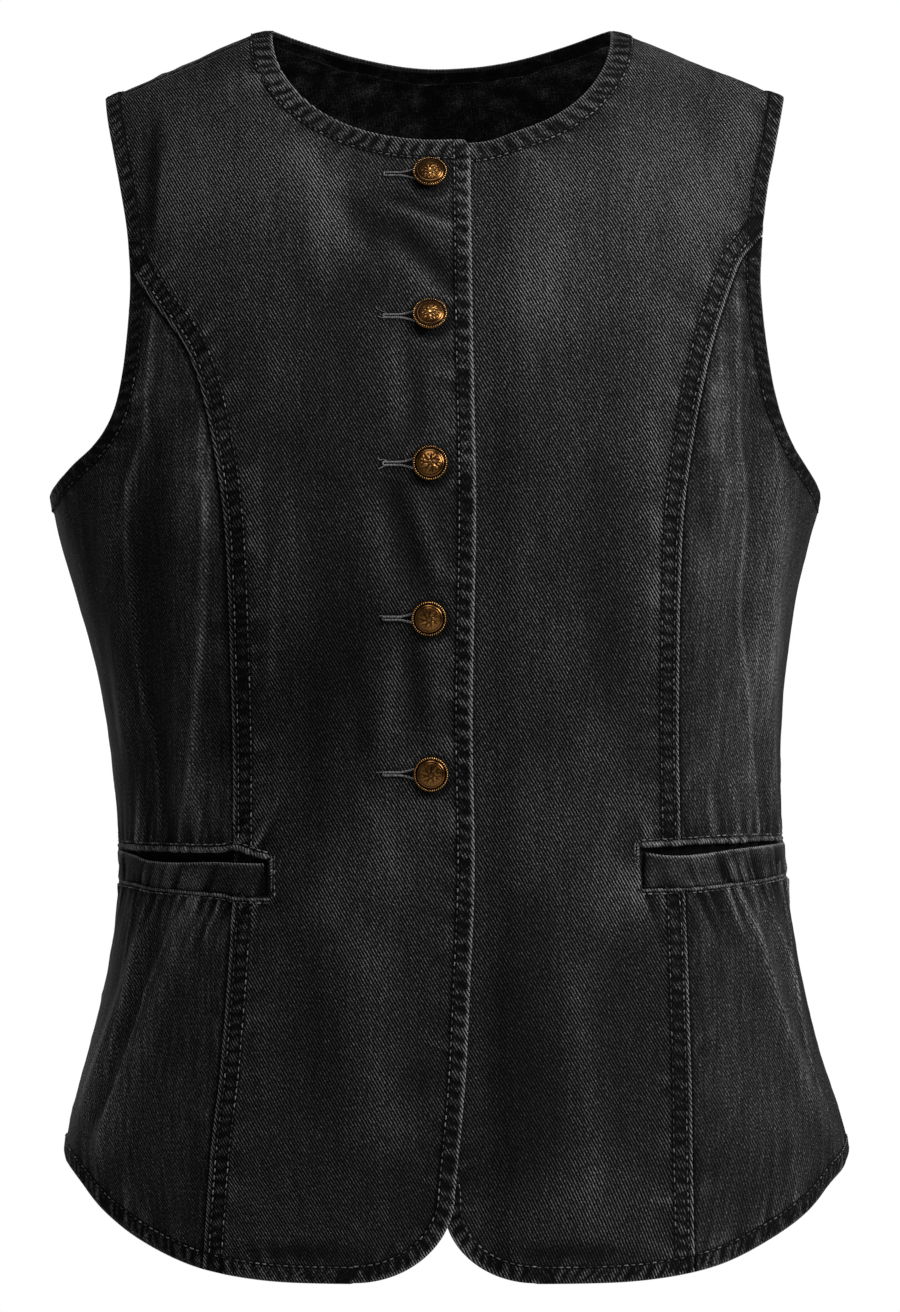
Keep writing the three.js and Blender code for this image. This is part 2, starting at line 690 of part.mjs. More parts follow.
// The outline vertex straight across the panel from vertex k.
function oppositeOf(k, across, up) {
  const size = 2 * (across + up);
  if (k < across) return 2 * across + up - k;
  if (k < across + up) return (size - (k - across)) % size;
  if (k < 2 * across + up) return 2 * across + up - k;
  return across + (size - k);
}

// Borders: width and rise
const necked = { width: NECK_BORDER, rise: BORDER_RISE };
const turned = { width: HEM_BORDER, rise: BORDER_RISE };
const placket = { width: PLACKET_BORDER, rise: BORDER_RISE };
const felled = { width: FELL_BORDER, rise: BORDER_RISE };
const plain = { width: PLAIN_BORDER, rise: 0 };

// The panels

const FRONT = { across: 10, seam: 25, armhole: 8, neck: 8, upperCorner: 4, lowerCorner: 4 };
const SIDE = { across: 8, side: 13, armhole: 11 };
const SIDE_TOP_CUT = 4; // steps of the armhole line left off at the side panel's pointed top
const BACK = { shoulder: 6, neck: 12, side: 13, armhole: 16 };

// The princess seam's vertices, which both panels share. The last cell is a short one.
function princessPlaces(side) {
  const line = princessLine(side);
  return [...spread(line.slice(0, -1), FRONT.seam - 1), line[LINE_STEPS]];
}

const SHOULDER_END_CELL = 14; // wider than a turned border with its slope

// The shoulder seam's vertices. The back has both ends and every second one between.
const shoulderPlaces = (side) => spread(shoulderLine(side), FRONT.across, SHOULDER_END_CELL);
const onBackShoulder = (_, k) => k % FRONT.across === 0 || k % 2 === 1;

// Centre front panel: hem, princess seam and armhole, shoulder, neckline and front edge.
function centreFront(side, layer, settle) {
  const seam = princessPlaces(side);
  const { neckX, edge, upperCorner, lowerCorner, hemStart } = frontEdgeLines(layer, side);
  const hem = hemLine(hemStart, seam[0].x);
  const arm = armholeLine(side, "front", PRINCESS_TOP[side], 0);
  const neck = neckLine(neckSeamX(side), neckX, "front");
  const up = FRONT.seam + FRONT.armhole;
  const stretches = [
    { places: spread(lowerCorner, FRONT.lowerCorner), border: turned },
    { places: spread(hem, FRONT.across - FRONT.lowerCorner), border: turned },
    { places: seam, border: felled },
    { places: spread(arm, FRONT.armhole), border: turned },
    { places: shoulderPlaces(side).reverse(), border: plain },
    { places: spread(neck, FRONT.neck), border: necked },
    { places: spread(edge.reverse(), up - FRONT.neck - FRONT.upperCorner), border: placket },
    { places: spread(upperCorner.reverse(), FRONT.upperCorner), border: placket },
  ];
  return panel(stretches, FRONT.across, up, settle);
}

// Side front panel: hem, side seam and armhole, blunt upper end, princess seam.
function sideFront(side) {
  const seam = princessPlaces(side).slice(0, -1);
  const arm = armholeLine(side, "front", UNDERARM, PRINCESS_TOP[side]).slice(0, -SIDE_TOP_CUT);
  const top = steps((t) => arm[arm.length - 1].clone().lerp(seam[seam.length - 1], t));
  const stretches = [
    { places: spread(hemLine(seam[0].x, signOf(side) * QUARTER), SIDE.across), border: turned },
    { places: spread(sideLine(side), SIDE.side), border: plain },
    { places: spread(arm, SIDE.armhole), border: turned },
    { places: spread(top, SIDE.across), border: plain },
    { places: seam.reverse(), border: plain },
  ];
  return panel(stretches, SIDE.across, SIDE.side + SIDE.armhole);
}

// Back panel in one piece: hem, both side seams and armholes, both shoulders, neckline.
function back() {
  const hem = steps((t) => {
    const angle = mix(QUARTER, 3 * QUARTER, t);
    return new THREE.Vector2(angle, hemPlace(angle > HALF_TURN ? angle - 2 * HALF_TURN : angle).y);
  });
  const seam = (side) => spread(onBack(sideLine(side)), BACK.side);
  const arm = (side) => spread(armholeLine(side, "back", UNDERARM, 0), BACK.armhole);
  const shoulder = (side) => shoulderPlaces(side).filter(onBackShoulder).map(overRidge);
  const across = 2 * BACK.shoulder + BACK.neck;
  const stretches = [
    { places: spread(hem, across), border: turned },
    { places: seam("right"), border: plain },
    { places: arm("right"), border: turned },
    { places: shoulder("right").reverse(), border: plain },
    { places: spread(backNeckLine(), BACK.neck), border: necked },
    { places: shoulder("left"), border: plain },
    { places: arm("left").reverse(), border: turned },
    { places: seam("left").reverse(), border: plain },
  ];
  return panel(stretches, across, BACK.side + BACK.armhole);
}

// The under front settles behind the over front where they lap.
const LAP_DROP = WALL + LAY_GAP + BORDER_RISE;
const LAP_SLOPE = { start: 34, end: 15 };

function lapDrop(point) {
  const slope = (LAP_SLOPE.start - point.x) / (LAP_SLOPE.start - LAP_SLOPE.end);
  return LAP_DROP * smooth(slope);
}

// Strips that lie on or under the panels

// A closed strip of cells between rows of points on its two faces.
function strip(outerRows, innerRows) {
  const rows = outerRows.length;
  const columns = outerRows[0].length;
  const quads = [];
  for (let j = 0; j < rows - 1; j++) {
    for (let i = 0; i < columns - 1; i++) {
      const a = j * columns + i;
      quads.push([a, a + 1, a + columns + 1, a + columns]);
    }
  }
  const rim = [];
  for (let i = 0; i < columns - 1; i++) rim.push(i);
  for (let j = 0; j < rows - 1; j++) rim.push(j * columns + columns - 1);
  for (let i = columns - 1; i > 0; i--) rim.push((rows - 1) * columns + i);
  for (let j = rows - 1; j > 0; j--) rim.push(j * columns);
  return closedWall(outerRows.flat(), innerRows.flat(), quads, rim);
}

const FACING_CELLS = 24;
const FACING_END = 10; // steps of the back neckline left off beside each shoulder ridge

// The back neck facing: a strip inside the back neckline, between the shoulders.
function neckFacing() {
  const neck = onBack(neckLine(neckEnd("right"), neckEnd("left"), "back"));
  const places = spread(neck.slice(FACING_END, -FACING_END), FACING_CELLS);
  const points = places.map((place) => plainPoint(place.x, place.y));
  const outer = [[], [], []];
  const inner = [[], [], []];
  places.forEach((place, k) => {
    const before = points[Math.max(k - 1, 0)];
    const after = points[Math.min(k + 1, FACING_CELLS)];
    const { normal } = frameAt(place);
    const away = new THREE.Vector3().crossVectors(normal, after.clone().sub(before)).normalize();
    [SEAM_GAP, FACING_WIDTH / 2, FACING_WIDTH].forEach((distance, row) => {
      const there = moveAlong(place, away.clone().multiplyScalar(distance));
      outer[row].push(pointAt(there, -WALL - FACING_GAP));
      inner[row].push(pointAt(there, -WALL - FACING_GAP - FACING_THICK));
    });
  });
  return strip(outer, inner);
}

const WELT_CELLS = { along: 14, up: 3 };

// How far the felled border lifts a welt that crosses it, with a slope at each side.
function felledRise(side, place) {
  const { x, z } = plainPoint(place.x, place.y);
  const past = princess[side](z) + FELL_SLOPE - Math.abs(x);
  const rise = smooth(past / FELL_SLOPE) * smooth((FELL_BORDER + 3 * FELL_SLOPE - past) / FELL_SLOPE);
  return BORDER_RISE * rise;
}

// A pocket welt: sewn down along its foot and both ends, with a free upper edge.
function welt(side) {
  const { endX, low, high } = WELTS[side];
  const rows = { outer: [], inner: [] };
  for (let j = 0; j <= WELT_CELLS.up; j++) {
    const v = j / WELT_CELLS.up;
    const z = mix(low, high, v);
    const start = placeAt(endX, z).x;
    const end = signOf(side) * radians(WELT_SIDE_ANGLE);
    const outer = [];
    const inner = [];
    for (let i = 0; i <= WELT_CELLS.along; i++) {
      const u = i / WELT_CELLS.along;
      const place = new THREE.Vector2(mix(start, end, u), rollOfHeight(z));
      const gape = WELT_GAPE * v * v * Math.sin(HALF_TURN * u);
      const seat = WELT_GAP + gape + felledRise(side, place);
      inner.push(pointAt(place, seat));
      outer.push(pointAt(place, seat + WELT_THICK));
    }
    rows.outer.push(outer);
    rows.inner.push(inner);
  }
  return strip(rows.outer, rows.inner);
}

// A shank button: a domed head with a raised rim on a short shank, turned about its axis.
function button({ x, z, tilt }) {
  const profile = BUTTON_PROFILE.map(({ r, h }) => new THREE.Vector2(r, h));
  const geometry = new THREE.LatheGeometry(profile, BUTTON_SEGMENTS);
  const mesh = new THREE.Mesh(geometry, new THREE.MeshStandardMaterial(BRASS));
  const place = placeAt(x, z);
  const normal = frameAt(place).normal.clone();
  normal.applyAxisAngle(new THREE.Vector3(1, 0, 0), -radians(tilt));
  mesh.quaternion.setFromUnitVectors(new THREE.Vector3(0, 1, 0), normal);
  mesh.position.copy(pointAt(place, SEAM_GAP + BUTTON_FOOT * Math.sin(radians(tilt))));
  return mesh;
}

// The vest

const vest = new THREE.Group();

function add(name, geometry, look = DENIM) {
  const mesh = new THREE.Mesh(geometry, new THREE.MeshStandardMaterial(look));
  mesh.name = name;
  vest.add(mesh);
}

add("front_right", centreFront("right", "over"));
add("front_left", centreFront("left", "under", lapDrop));
add("side_front_right", sideFront("right"));
add("side_front_left", sideFront("left"));
add("back", back());
add("neck_facing", neckFacing(), DENIM_INSIDE);
add("pocket_welt_right", welt("right"));
add("pocket_welt_left", welt("left"));
BUTTONS.forEach((row, k) => {
  const mesh = button(row);
  mesh.name = `button_${k + 1}`;
  vest.add(mesh);
});

export default vest;
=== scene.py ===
# %% [markdown]
# # A washed black denim vest
# The vest is shown as it stands when it is worn, hollow and with nobody in it. A maker cuts
# it as two centre fronts, two side fronts and a back, fells the princess seams with twin
# needles, turns the edges in and topstitches them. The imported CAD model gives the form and
# the size, and this script gives each panel its cloth: folds, roping along the seams,
# stitches, weave and wear.

import bpy
import numpy as np
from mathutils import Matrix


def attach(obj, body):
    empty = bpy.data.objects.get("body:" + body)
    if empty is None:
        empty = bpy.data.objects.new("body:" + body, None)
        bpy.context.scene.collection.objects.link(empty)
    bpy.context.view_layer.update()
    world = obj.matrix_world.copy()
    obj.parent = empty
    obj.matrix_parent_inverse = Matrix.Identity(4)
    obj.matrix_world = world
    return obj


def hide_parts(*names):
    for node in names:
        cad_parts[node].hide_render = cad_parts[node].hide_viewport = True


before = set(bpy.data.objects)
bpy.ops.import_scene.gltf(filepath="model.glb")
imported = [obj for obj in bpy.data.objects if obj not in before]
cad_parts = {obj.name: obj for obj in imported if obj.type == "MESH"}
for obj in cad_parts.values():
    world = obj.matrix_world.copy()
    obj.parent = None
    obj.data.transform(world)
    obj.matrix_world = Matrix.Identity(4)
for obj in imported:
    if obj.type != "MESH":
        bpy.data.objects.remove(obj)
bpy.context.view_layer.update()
print("nodes of the packed model:", ", ".join(sorted(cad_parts)))

# %% [markdown]
# ## Camera
# The photograph looks level at the middle of the front from far away, so lines hardly
# converge. A long lens at 3.2 m gives the same view. The sensor's 36 mm lie along the
# picture's long side.

# %% The camera
MM = 0.001
CAMERA_AWAY = 3200
CAMERA_HEIGHT = -300
PIXEL_AT_ORIGIN = 0.48
LONG_SIDE = 1312

camera = bpy.data.objects.new("camera", bpy.data.cameras.new("camera"))
camera.data.sensor_width = 36
camera.data.lens = camera.data.sensor_width * CAMERA_AWAY / (LONG_SIDE * PIXEL_AT_ORIGIN)
camera.location = (0, -CAMERA_AWAY * MM, CAMERA_HEIGHT * MM)
camera.rotation_euler = (np.pi / 2, 0, 0)
bpy.context.scene.collection.objects.link(camera)
bpy.context.scene.camera = camera
print(f"lens {camera.data.lens:.1f} mm")

# %% [markdown]
# ## The worn form
# Cloth on a body lies on one smooth surface, and every panel is a part of it. So the form
# comes first, as a function of two parameters: the angle round the body from the centre
# front, and the roll, which is 0 on the shoulder line and grows downwards. It repeats the
# sizes of the CAD model, in millimetres, from short tables with smooth curves between rows.

# %% Tables and smooth curves
def table(names, *rows):
    """Rows of numbers as named columns, sorted by the first column."""
    return dict(zip(names.split(), np.array(sorted(rows), float).T))


def curve(rows, name, at):
    """Cubic through one column against the first, each slope taken from the neighbours."""
    xs, ys = rows[next(iter(rows))], rows[name]
    last = len(xs) - 1
    ahead = np.minimum(np.arange(last + 1) + 1, last)
    behind = np.maximum(np.arange(last + 1) - 1, 0)
    slopes = (ys[ahead] - ys[behind]) / (xs[ahead] - xs[behind])
    x = np.clip(at, xs[0], xs[-1])
    i = np.clip(np.searchsorted(xs, x, side="right") - 1, 0, last - 1)
    span = xs[i + 1] - xs[i]
    t = (x - xs[i]) / span
    rise = t * t * (3 - 2 * t)
    bend = slopes[i] * t * (1 - t) ** 2 - slopes[i + 1] * t * t * (1 - t)
    return ys[i] * (1 - rise) + ys[i + 1] * rise + span * bend


def smooth(t):
    """0 below 0, 1 above 1, and a soft step between."""
    t = np.clip(t, 0, 1)
    return t * t * (3 - 2 * t)


def bell(x, middle, width):
    """1 at the middle, 1/e at one width from it, and 0 far away."""
    return np.exp(-(((x - middle) / width) ** 2))


SECTIONS = table(
    "z right left front back corner",
    (0, 185, 178, 62, 118, 0.05),
    (-57, 186, 178, 76, 112, 0.06),
    (-100, 187, 178, 88, 109, 0.07),
    (-150, 189, 178, 104, 112, 0.09),
    (-200, 191, 178, 116, 113, 0.1),
    (-226, 190.6, 176.4, 119, 111, 0.1),
    (-270, 179.2, 166.2, 119, 105, 0.09),
    (-310, 168.5, 160.7, 114, 98, 0.08),
    (-350, 162, 158.8, 108, 93, 0.06),
    (-400, 158.6, 160.2, 104, 94, 0.05),
    (-450, 164.5, 168, 106, 101, 0.05),
    (-490, 173.7, 177.5, 110, 108, 0.05),
    (-530, 184, 190, 115, 114, 0.05),
    (-560, 185, 191, 118, 117, 0.05),
    (-600, 185, 191, 121, 119, 0.05),
)
SHOULDER_ROLL = 130
UNDERARM = -224
SHOULDERS = {
    "right": dict(tip=165, slope=0.45, start=84, bend=16, at_neck=0.2, at_tip=0.12),
    "left": dict(tip=160, slope=0.395, start=71.5, bend=16, at_neck=0.05, at_tip=0.05),
}
SIGN = {"right": -1, "left": 1}

# %% The surface of the worn form
QUARTER, HALF_TURN = np.pi / 2, np.pi


def height_of(roll):
    """Height below the shoulder line: a quarter circle over the shoulder, then straight."""
    return -SHOULDER_ROLL * np.where(roll < QUARTER, 1 - np.cos(roll), 1 + roll - QUARTER)


def roll_of(height):
    share = np.maximum(-np.asarray(height, float) / SHOULDER_ROLL, 0)
    return np.where(share < 1, np.arccos(1 - np.minimum(share, 1)), QUARTER + share - 1)


def seam_fall(x):
    """How far the shoulder has fallen at distance x from the middle."""
    fall = {}
    for side, s in SHOULDERS.items():
        past = np.maximum(np.abs(x) - s["start"], 0)
        bent = np.where(past < s["bend"], past**2 / (2 * s["bend"]), past - s["bend"] / 2)
        fall[side] = s["slope"] * bent
    return np.where(np.asarray(x) < 0, fall["right"], fall["left"])


def fullness(angle, height):
    """How far the corners of the oval stand out at this angle."""
    return 1 + curve(SECTIONS, "corner", height) * np.sin(2 * angle) ** 2


def plain(place):
    """Point (x, y, z) of the form at places (angle, roll): an oval whose half widths and
    depths follow the height, lowered towards the shoulder tips. A negative roll goes on
    over the shoulder to the other face."""
    angle, roll = place[..., 0], place[..., 1]
    angle = np.where(roll < 0, np.sign(angle) * HALF_TURN - angle, angle)
    roll = np.abs(roll)
    height = height_of(roll)
    shape = fullness(angle, height)
    wide = np.where(
        np.sin(angle) < 0, curve(SECTIONS, "right", height), curve(SECTIONS, "left", height)
    )
    deep = np.where(
        np.cos(angle) < 0, curve(SECTIONS, "back", height), curve(SECTIONS, "front", height)
    )
    deep = deep * np.sin(np.minimum(roll, QUARTER))
    x = wide * np.sin(angle) * shape
    fall = seam_fall(x) * smooth(1 + height / -UNDERARM)
    return np.stack([x, -deep * np.cos(angle) * shape, height - fall], -1)


def directions(place, step=1e-3):
    """Vectors along the angle and along the roll, and the outward normal."""
    across, along = np.array([step, 0]), np.array([0, step])
    turn = (plain(place + across) - plain(place - across)) / (2 * step)
    down = (plain(place + along) - plain(place - along)) / (2 * step)
    normal = np.cross(down, turn)
    return turn, down, normal / np.linalg.norm(normal, axis=-1, keepdims=True)


def move(place, motion):
    """The place reached by a short motion along the surface."""
    turn, down, _ = directions(place)
    tt, td, dd = (turn * turn).sum(-1), (turn * down).sum(-1), (down * down).sum(-1)
    mt, md = (motion * turn).sum(-1), (motion * down).sum(-1)
    size = tt * dd - td * td
    return place + np.stack([(mt * dd - md * td) / size, (md * tt - mt * td) / size], -1)


def seen(x, z, face="front"):
    """The place that is seen at (x, z) on the front or the back."""
    x, z = np.broadcast_arrays(np.asarray(x, float), np.asarray(z, float))
    height = z
    for _ in range(12):
        height = np.minimum(z + seam_fall(x) * smooth(1 + height / -UNDERARM), 0)
    wide = np.where(x < 0, curve(SECTIONS, "right", height), curve(SECTIONS, "left", height))
    target = np.minimum(np.abs(x) / wide, 1)
    low, high = np.zeros_like(target), np.full_like(target, QUARTER)
    for _ in range(40):
        middle = (low + high) / 2
        short = np.sin(middle) * fullness(middle, height) < target
        low, high = np.where(short, middle, low), np.where(short, high, middle)
    angle = np.sign(x) * (low + high) / 2
    if face == "back":
        angle = np.where(x < 0, -HALF_TURN, HALF_TURN) - angle
    return np.stack([angle, roll_of(height)], -1)


print("front of the chest at", plain(np.array([0.0, roll_of(-200.0)])).round(1), "mm")

# %% [markdown]
# ## Edges and seams
# A panel is known by its edges. Each edge or seam is a line of places on the form, drawn
# from what is seen in the front view: the round neck, the armholes, the princess seams
# that leave the armholes and run to the hem, the curved hem and the rounded front corners.

# %% Tables of the lines
NECK = dict(centre=-4, half=81, front_drop=57.5, front_power=2.15, back_drop=14, back_power=1.3)
PRINCESS_TOP = {"right": -114, "left": -101}
BACK_ARMHOLE_INSET = 1.5
ARMHOLE = table(
    "z right left",
    (-224, 191.2, 177),
    (-219, 186.4, 174),
    (-211, 178, 168.3),
    (-202, 167.6, 162),
    (-190, 159.3, 156.5),
    (-175, 154.6, 152.2),
    (-150, 151.4, 148.2),
    (-125, 150.4, 146.2),
    (-100, 152.5, 147.9),
    (-80, 156, 150.3),
    (-60, 160, 154.4),
    (-45, 163.2, 157.6),
    (-33, 165, 160),
)
PRINCESS = table(
    "z right left",
    (-101, 156, 147.8),
    (-114, 152, 137),
    (-131, 141.5, 130),
    (-157, 123, 121.7),
    (-191, 112, 114.5),
    (-238, 104.6, 108),
    (-305, 102, 106.6),
    (-386, 100.9, 107.6),
    (-416, 101.4, 110),
    (-492, 106.8, 112.2),
    (-531, 111.2, 112.8),
    (-600, 116, 113.6),
)
FRONT_EDGES = table(
    "z over under",
    (-40, 9.3, -28),
    (-150, 10.6, -28),
    (-230, 12, -28),
    (-330, 10.4, -28),
    (-400, 11.4, -24),
    (-453, 9.3, -17.5),
    (-500, 6.9, -11),
    (-549, 2.3, -3),
)
HEM = table(
    "angle z",
    (0, -590),
    (22, -590.2),
    (31, -588),
    (39, -583),
    (48, -573),
    (58, -560.5),
    (68, -547.5),
    (78, -541),
    (90, -537),
    (110, -543),
    (140, -559),
    (180, -566),
)
HEM_CORNER = {
    "over": dict(edge=2.3, wide=47, high=41),
    "under": dict(edge=-3, wide=43, high=36),
}

# %% Lines of places
STEPS = 400
T = np.linspace(0, 1, STEPS + 1)


def mix(a, b, t):
    return a + (b - a) * t


def run_along(points):
    """How far along a line of points each one is."""
    return np.concatenate([[0], np.cumsum(np.linalg.norm(np.diff(points, axis=0), axis=1))])


def even(line, count, *more):
    """The same line, or lines joined, with places evenly spaced by real length."""
    joined = np.concatenate([line, *[extra[1:] for extra in more]])
    run = run_along(plain(joined))
    at = np.linspace(0, run[-1], count)
    return np.stack([np.interp(at, run, joined[:, k]) for k in range(2)], -1)


def hem_height(angle):
    turned = np.abs(np.arctan2(np.sin(angle), np.cos(angle)))
    return curve(HEM, "z", np.degrees(turned))


def hem_line(start, end):
    angle = mix(start, end, T)
    return np.stack([angle, roll_of(hem_height(angle))], -1)


def princess_foot(side):
    foot = np.array([0, float(roll_of(hem_height(0)))])
    for _ in range(8):
        z = float(hem_height(foot[0]))
        foot = seen(SIGN[side] * curve(PRINCESS, side, z), z)
    return foot


def princess_line(side):
    z = mix(height_of(princess_foot(side)[1]), PRINCESS_TOP[side], T)
    x = np.minimum(curve(PRINCESS, side, z), curve(ARMHOLE, side, z))
    x[-1] = curve(ARMHOLE, side, z[-1])
    return seen(SIGN[side] * x, z)


def on_back(line):
    """Places on the back run from 90 degrees at the left side to 270 at the right."""
    return np.stack([np.where(line[:, 0] < 0, line[:, 0] + 2 * np.pi, line[:, 0]), line[:, 1]], -1)


def over_ridge(place):
    """A place in front of the shoulder ridge, counted from the back over the ridge."""
    return np.stack([HALF_TURN - place[..., 0], -place[..., 1]], -1)


def armhole_line(side, face, start, end):
    s = SHOULDERS[side]
    ridge = float(-seam_fall(SIGN[side] * s["tip"]))
    seam = ridge + float(height_of(s["at_tip"]))
    z = mix(start, min(end, ridge if face == "back" else seam), T)
    inset = BACK_ARMHOLE_INSET * np.sin(HALF_TURN * z / UNDERARM) * (face == "back")
    line = seen(SIGN[side] * (curve(ARMHOLE, side, z) - inset), z, face)
    if face == "front":
        return line
    tip = over_ridge(seen(SIGN[side] * s["tip"], seam))
    return np.concatenate([on_back(line), tip[None]])


def side_line(side):
    roll = mix(roll_of(hem_height(QUARTER)), roll_of(UNDERARM), T)
    return np.stack([np.full_like(roll, SIGN[side] * QUARTER), roll], -1)


def neck_height(x, face):
    share = np.minimum(np.abs(x - NECK["centre"]) / NECK["half"], 1)
    if face == "back":
        return -NECK["back_drop"] * (1 - share**2) ** NECK["back_power"]
    return -NECK["front_drop"] * (1 - share ** NECK["front_power"]) ** (1 / NECK["front_power"])


def neck_line(start, end, face):
    turns = np.arcsin(np.clip((np.array([start, end]) - NECK["centre"]) / NECK["half"], -1, 1))
    x = NECK["centre"] + NECK["half"] * np.sin(mix(*turns, T))
    return seen(x, neck_height(x, face) - seam_fall(x), face)


def neck_end(side):
    return NECK["centre"] + SIGN[side] * NECK["half"]


def neck_seam(side):
    """Distance from the middle at which the front neckline meets the shoulder seam."""
    share = -float(height_of(SHOULDERS[side]["at_neck"])) / NECK["front_drop"]
    power = NECK["front_power"]
    return NECK["centre"] + SIGN[side] * NECK["half"] * (1 - share**power) ** (1 / power)


def back_neck_line():
    """From the left shoulder seam over both ridges to the right one."""
    over = {s: over_ridge(neck_line(neck_seam(s), neck_end(s), "front")) for s in SIGN}
    middle = on_back(neck_line(neck_end("left"), neck_end("right"), "back"))
    right = on_back(over["right"][::-1])
    return np.concatenate([over["left"], middle[1:], right[1:]])


def shoulder_line(side):
    s = SHOULDERS[side]
    x = mix(neck_seam(side), SIGN[side] * s["tip"], T)
    return seen(x, height_of(mix(s["at_neck"], s["at_tip"], T)) - seam_fall(x))


def eased(first, second, reach):
    """Two joined lines with the corner between them rounded over a reach in mm."""
    trimmed = []
    for line, step in ((first[::-1], -1), (second, 1)):
        trimmed.append(line[run_along(plain(line)) >= reach][::step])
    start, corner, end = trimmed[0][-1], first[-1], trimmed[1][0]
    t = np.linspace(0, 1, 40)[:, None]
    bend = mix(mix(start, corner, t), mix(corner, end, t), t)
    return np.concatenate([trimmed[0], bend[1:-1], trimmed[1]])


def front_edge(layer, side):
    """The straight front edge up to the neck, and the two halves of its lower corner."""
    c = HEM_CORNER[layer]
    hem = float(hem_height(0))

    def corner(turn):
        x = c["edge"] + SIGN[side] * c["wide"] * (1 - np.cos(turn))
        return seen(x, hem + c["high"] * (1 - np.sin(turn)))

    neck = float(curve(FRONT_EDGES, layer, -NECK["front_drop"]))
    z = mix(hem + c["high"], float(neck_height(neck, "front")), T)
    return dict(
        neck=neck,
        edge=seen(curve(FRONT_EDGES, layer, z), z),
        upper=corner(mix(QUARTER / 2, 0, T)),
        lower=corner(mix(QUARTER / 2, QUARTER, T)),
    )


print("princess seams meet the hem at", {s: plain(princess_foot(s)).round() for s in SIGN})

# %% [markdown]
# ## Panels as patches
# A panel has four sides: a foot, a far side, a top and a near side. Blending the sides
# gives a grid of places inside them, and elliptic smoothing keeps its cells from folding
# over at the hollow curves of neck and armhole. The fine mesh is read off that grid, with
# smaller cells towards the edges, where the stitching and the roping are.

# %% A grid inside four sides
COARSE = (32, 110)
SMOOTHING_ROUNDS = 160


def blended(foot, far, top, near):
    """Coons patch: the sum of both ruled surfaces less the bilinear one."""
    u = np.linspace(0, 1, len(foot))[None, :, None]
    v = np.linspace(0, 1, len(near))[:, None, None]
    ruled = near[:, None] * (1 - u) + far[:, None] * u
    foot_part = foot[None] - (foot[0] * (1 - u) + foot[-1] * u)
    top_part = top[None] - (top[0] * (1 - u) + top[-1] * u)
    return ruled + foot_part * (1 - v) + top_part * v


def smoothed(grid):
    """Moves each inner place to where its eight neighbours balance (Winslow's equations)."""
    for _ in range(SMOOTHING_ROUNDS):
        east, west = grid[1:-1, 2:], grid[1:-1, :-2]
        north, south = grid[2:, 1:-1], grid[:-2, 1:-1]
        by_row, by_column = (east - west) / 2, (north - south) / 2
        row_pull = (by_column**2).sum(-1, keepdims=True)
        column_pull = (by_row**2).sum(-1, keepdims=True)
        twist = grid[2:, 2:] - grid[2:, :-2] - grid[:-2, 2:] + grid[:-2, :-2]
        skew = (by_row * by_column).sum(-1, keepdims=True)
        pulled = row_pull * (east + west) + column_pull * (north + south) - skew * twist / 2
        grid[1:-1, 1:-1] = pulled / (2 * (row_pull + column_pull))
    return grid


def crowded(count, crowding):
    """Numbers from 0 to 1 that lie closer together at both ends."""
    t = np.linspace(0, 1, count)
    return t - crowding * np.sin(2 * np.pi * t) / (2 * np.pi)


def along(line, at):
    """Places of an evenly spaced line at shares of its length."""
    share = np.linspace(0, 1, len(line))
    return np.stack([np.interp(at, share, line[:, k]) for k in range(2)], -1)


def patch(foot, far, top, near, across, up, crowding=(0.5, 0.2)):
    """Fine grid of places, up rows of across places, with its sides exactly on the lines."""
    columns, rows = COARSE
    counts = (columns, rows, columns, rows)
    ends = [along(line, np.linspace(0, 1, n)) for line, n in zip((foot, far, top, near), counts)]
    grid = smoothed(blended(*ends))
    u, v = crowded(across, crowding[0]), crowded(up, crowding[1])
    i = np.clip((u * (columns - 1)).astype(int), 0, columns - 2)
    j = np.clip((v * (rows - 1)).astype(int), 0, rows - 2)
    s, t = (u * (columns - 1) - i)[None, :, None], (v * (rows - 1) - j)[:, None, None]
    jj, ii = j[:, None], i[None, :]
    fine = (1 - t) * ((1 - s) * grid[jj, ii] + s * grid[jj, ii + 1])
    fine += t * ((1 - s) * grid[jj + 1, ii] + s * grid[jj + 1, ii + 1])
    fine[0], fine[-1] = along(foot, u), along(top, u)
    fine[:, 0], fine[:, -1] = along(near, v), along(far, v)
    return fine


# %% [markdown]
# ## Relief of the cloth
# The cloth is moved in or out of the plain form by a few millimetres. Four things add up: the
# large folds of the CAD model, smaller creases placed one by one, the raised borders with their
# stitch lines, and the roping, where a turned edge that shrank in the wash pulls itself into
# slanting hollows. The same numbers set the tone. Ridges and edges are painted light, partly as
# dye worn off and partly as painted light. Hollows, creases and the pocket mouths are painted
# dark, partly as dye kept and partly as painted shade.

# %% Folds and creases
FOLD_RADIUS = 150
FOLD_FADE = 30
FOLDS = table(
    "top_x top_z low_x low_z half rise back",
    (-152, -215, -152, -345, 11, 2.6, 0),
    (-115, -196, -122, -380, 10, 2.2, 0),
    (-136, -190, -138, -380, 12, -2.4, 0),
    (-82, -215, -86, -300, 9, 1.4, 0),
    (150, -205, 154, -385, 11, 2.6, 0),
    (128, -172, 118, -270, 10, 2, 0),
    (137, -185, 136, -300, 10, -2, 0),
    (-144, -427, -172, -510, 9, 2.4, 0),
    (-127, -427, -165, -535, 9, 2.4, 0),
    (-136, -427, -168, -520, 8, -2, 0),
    (143, -424, 176, -520, 10, 2.4, 0),
    (153, -424, 166, -470, 8, 2, 0),
    (-70, -428, -66, -520, 16, -1.8, 0),
    (80, -428, 88, -540, 16, -1.6, 0),
    (-118, -250, -110, -420, 13, 2.6, 1),
    (-60, -330, -74, -520, 15, -2.4, 1),
    (-92, -330, -112, -530, 13, 2.4, 1),
    (112, -240, 106, -410, 13, 2.6, 1),
    (54, -340, 66, -530, 15, -2.4, 1),
    (88, -340, 106, -525, 13, 2.4, 1),
)
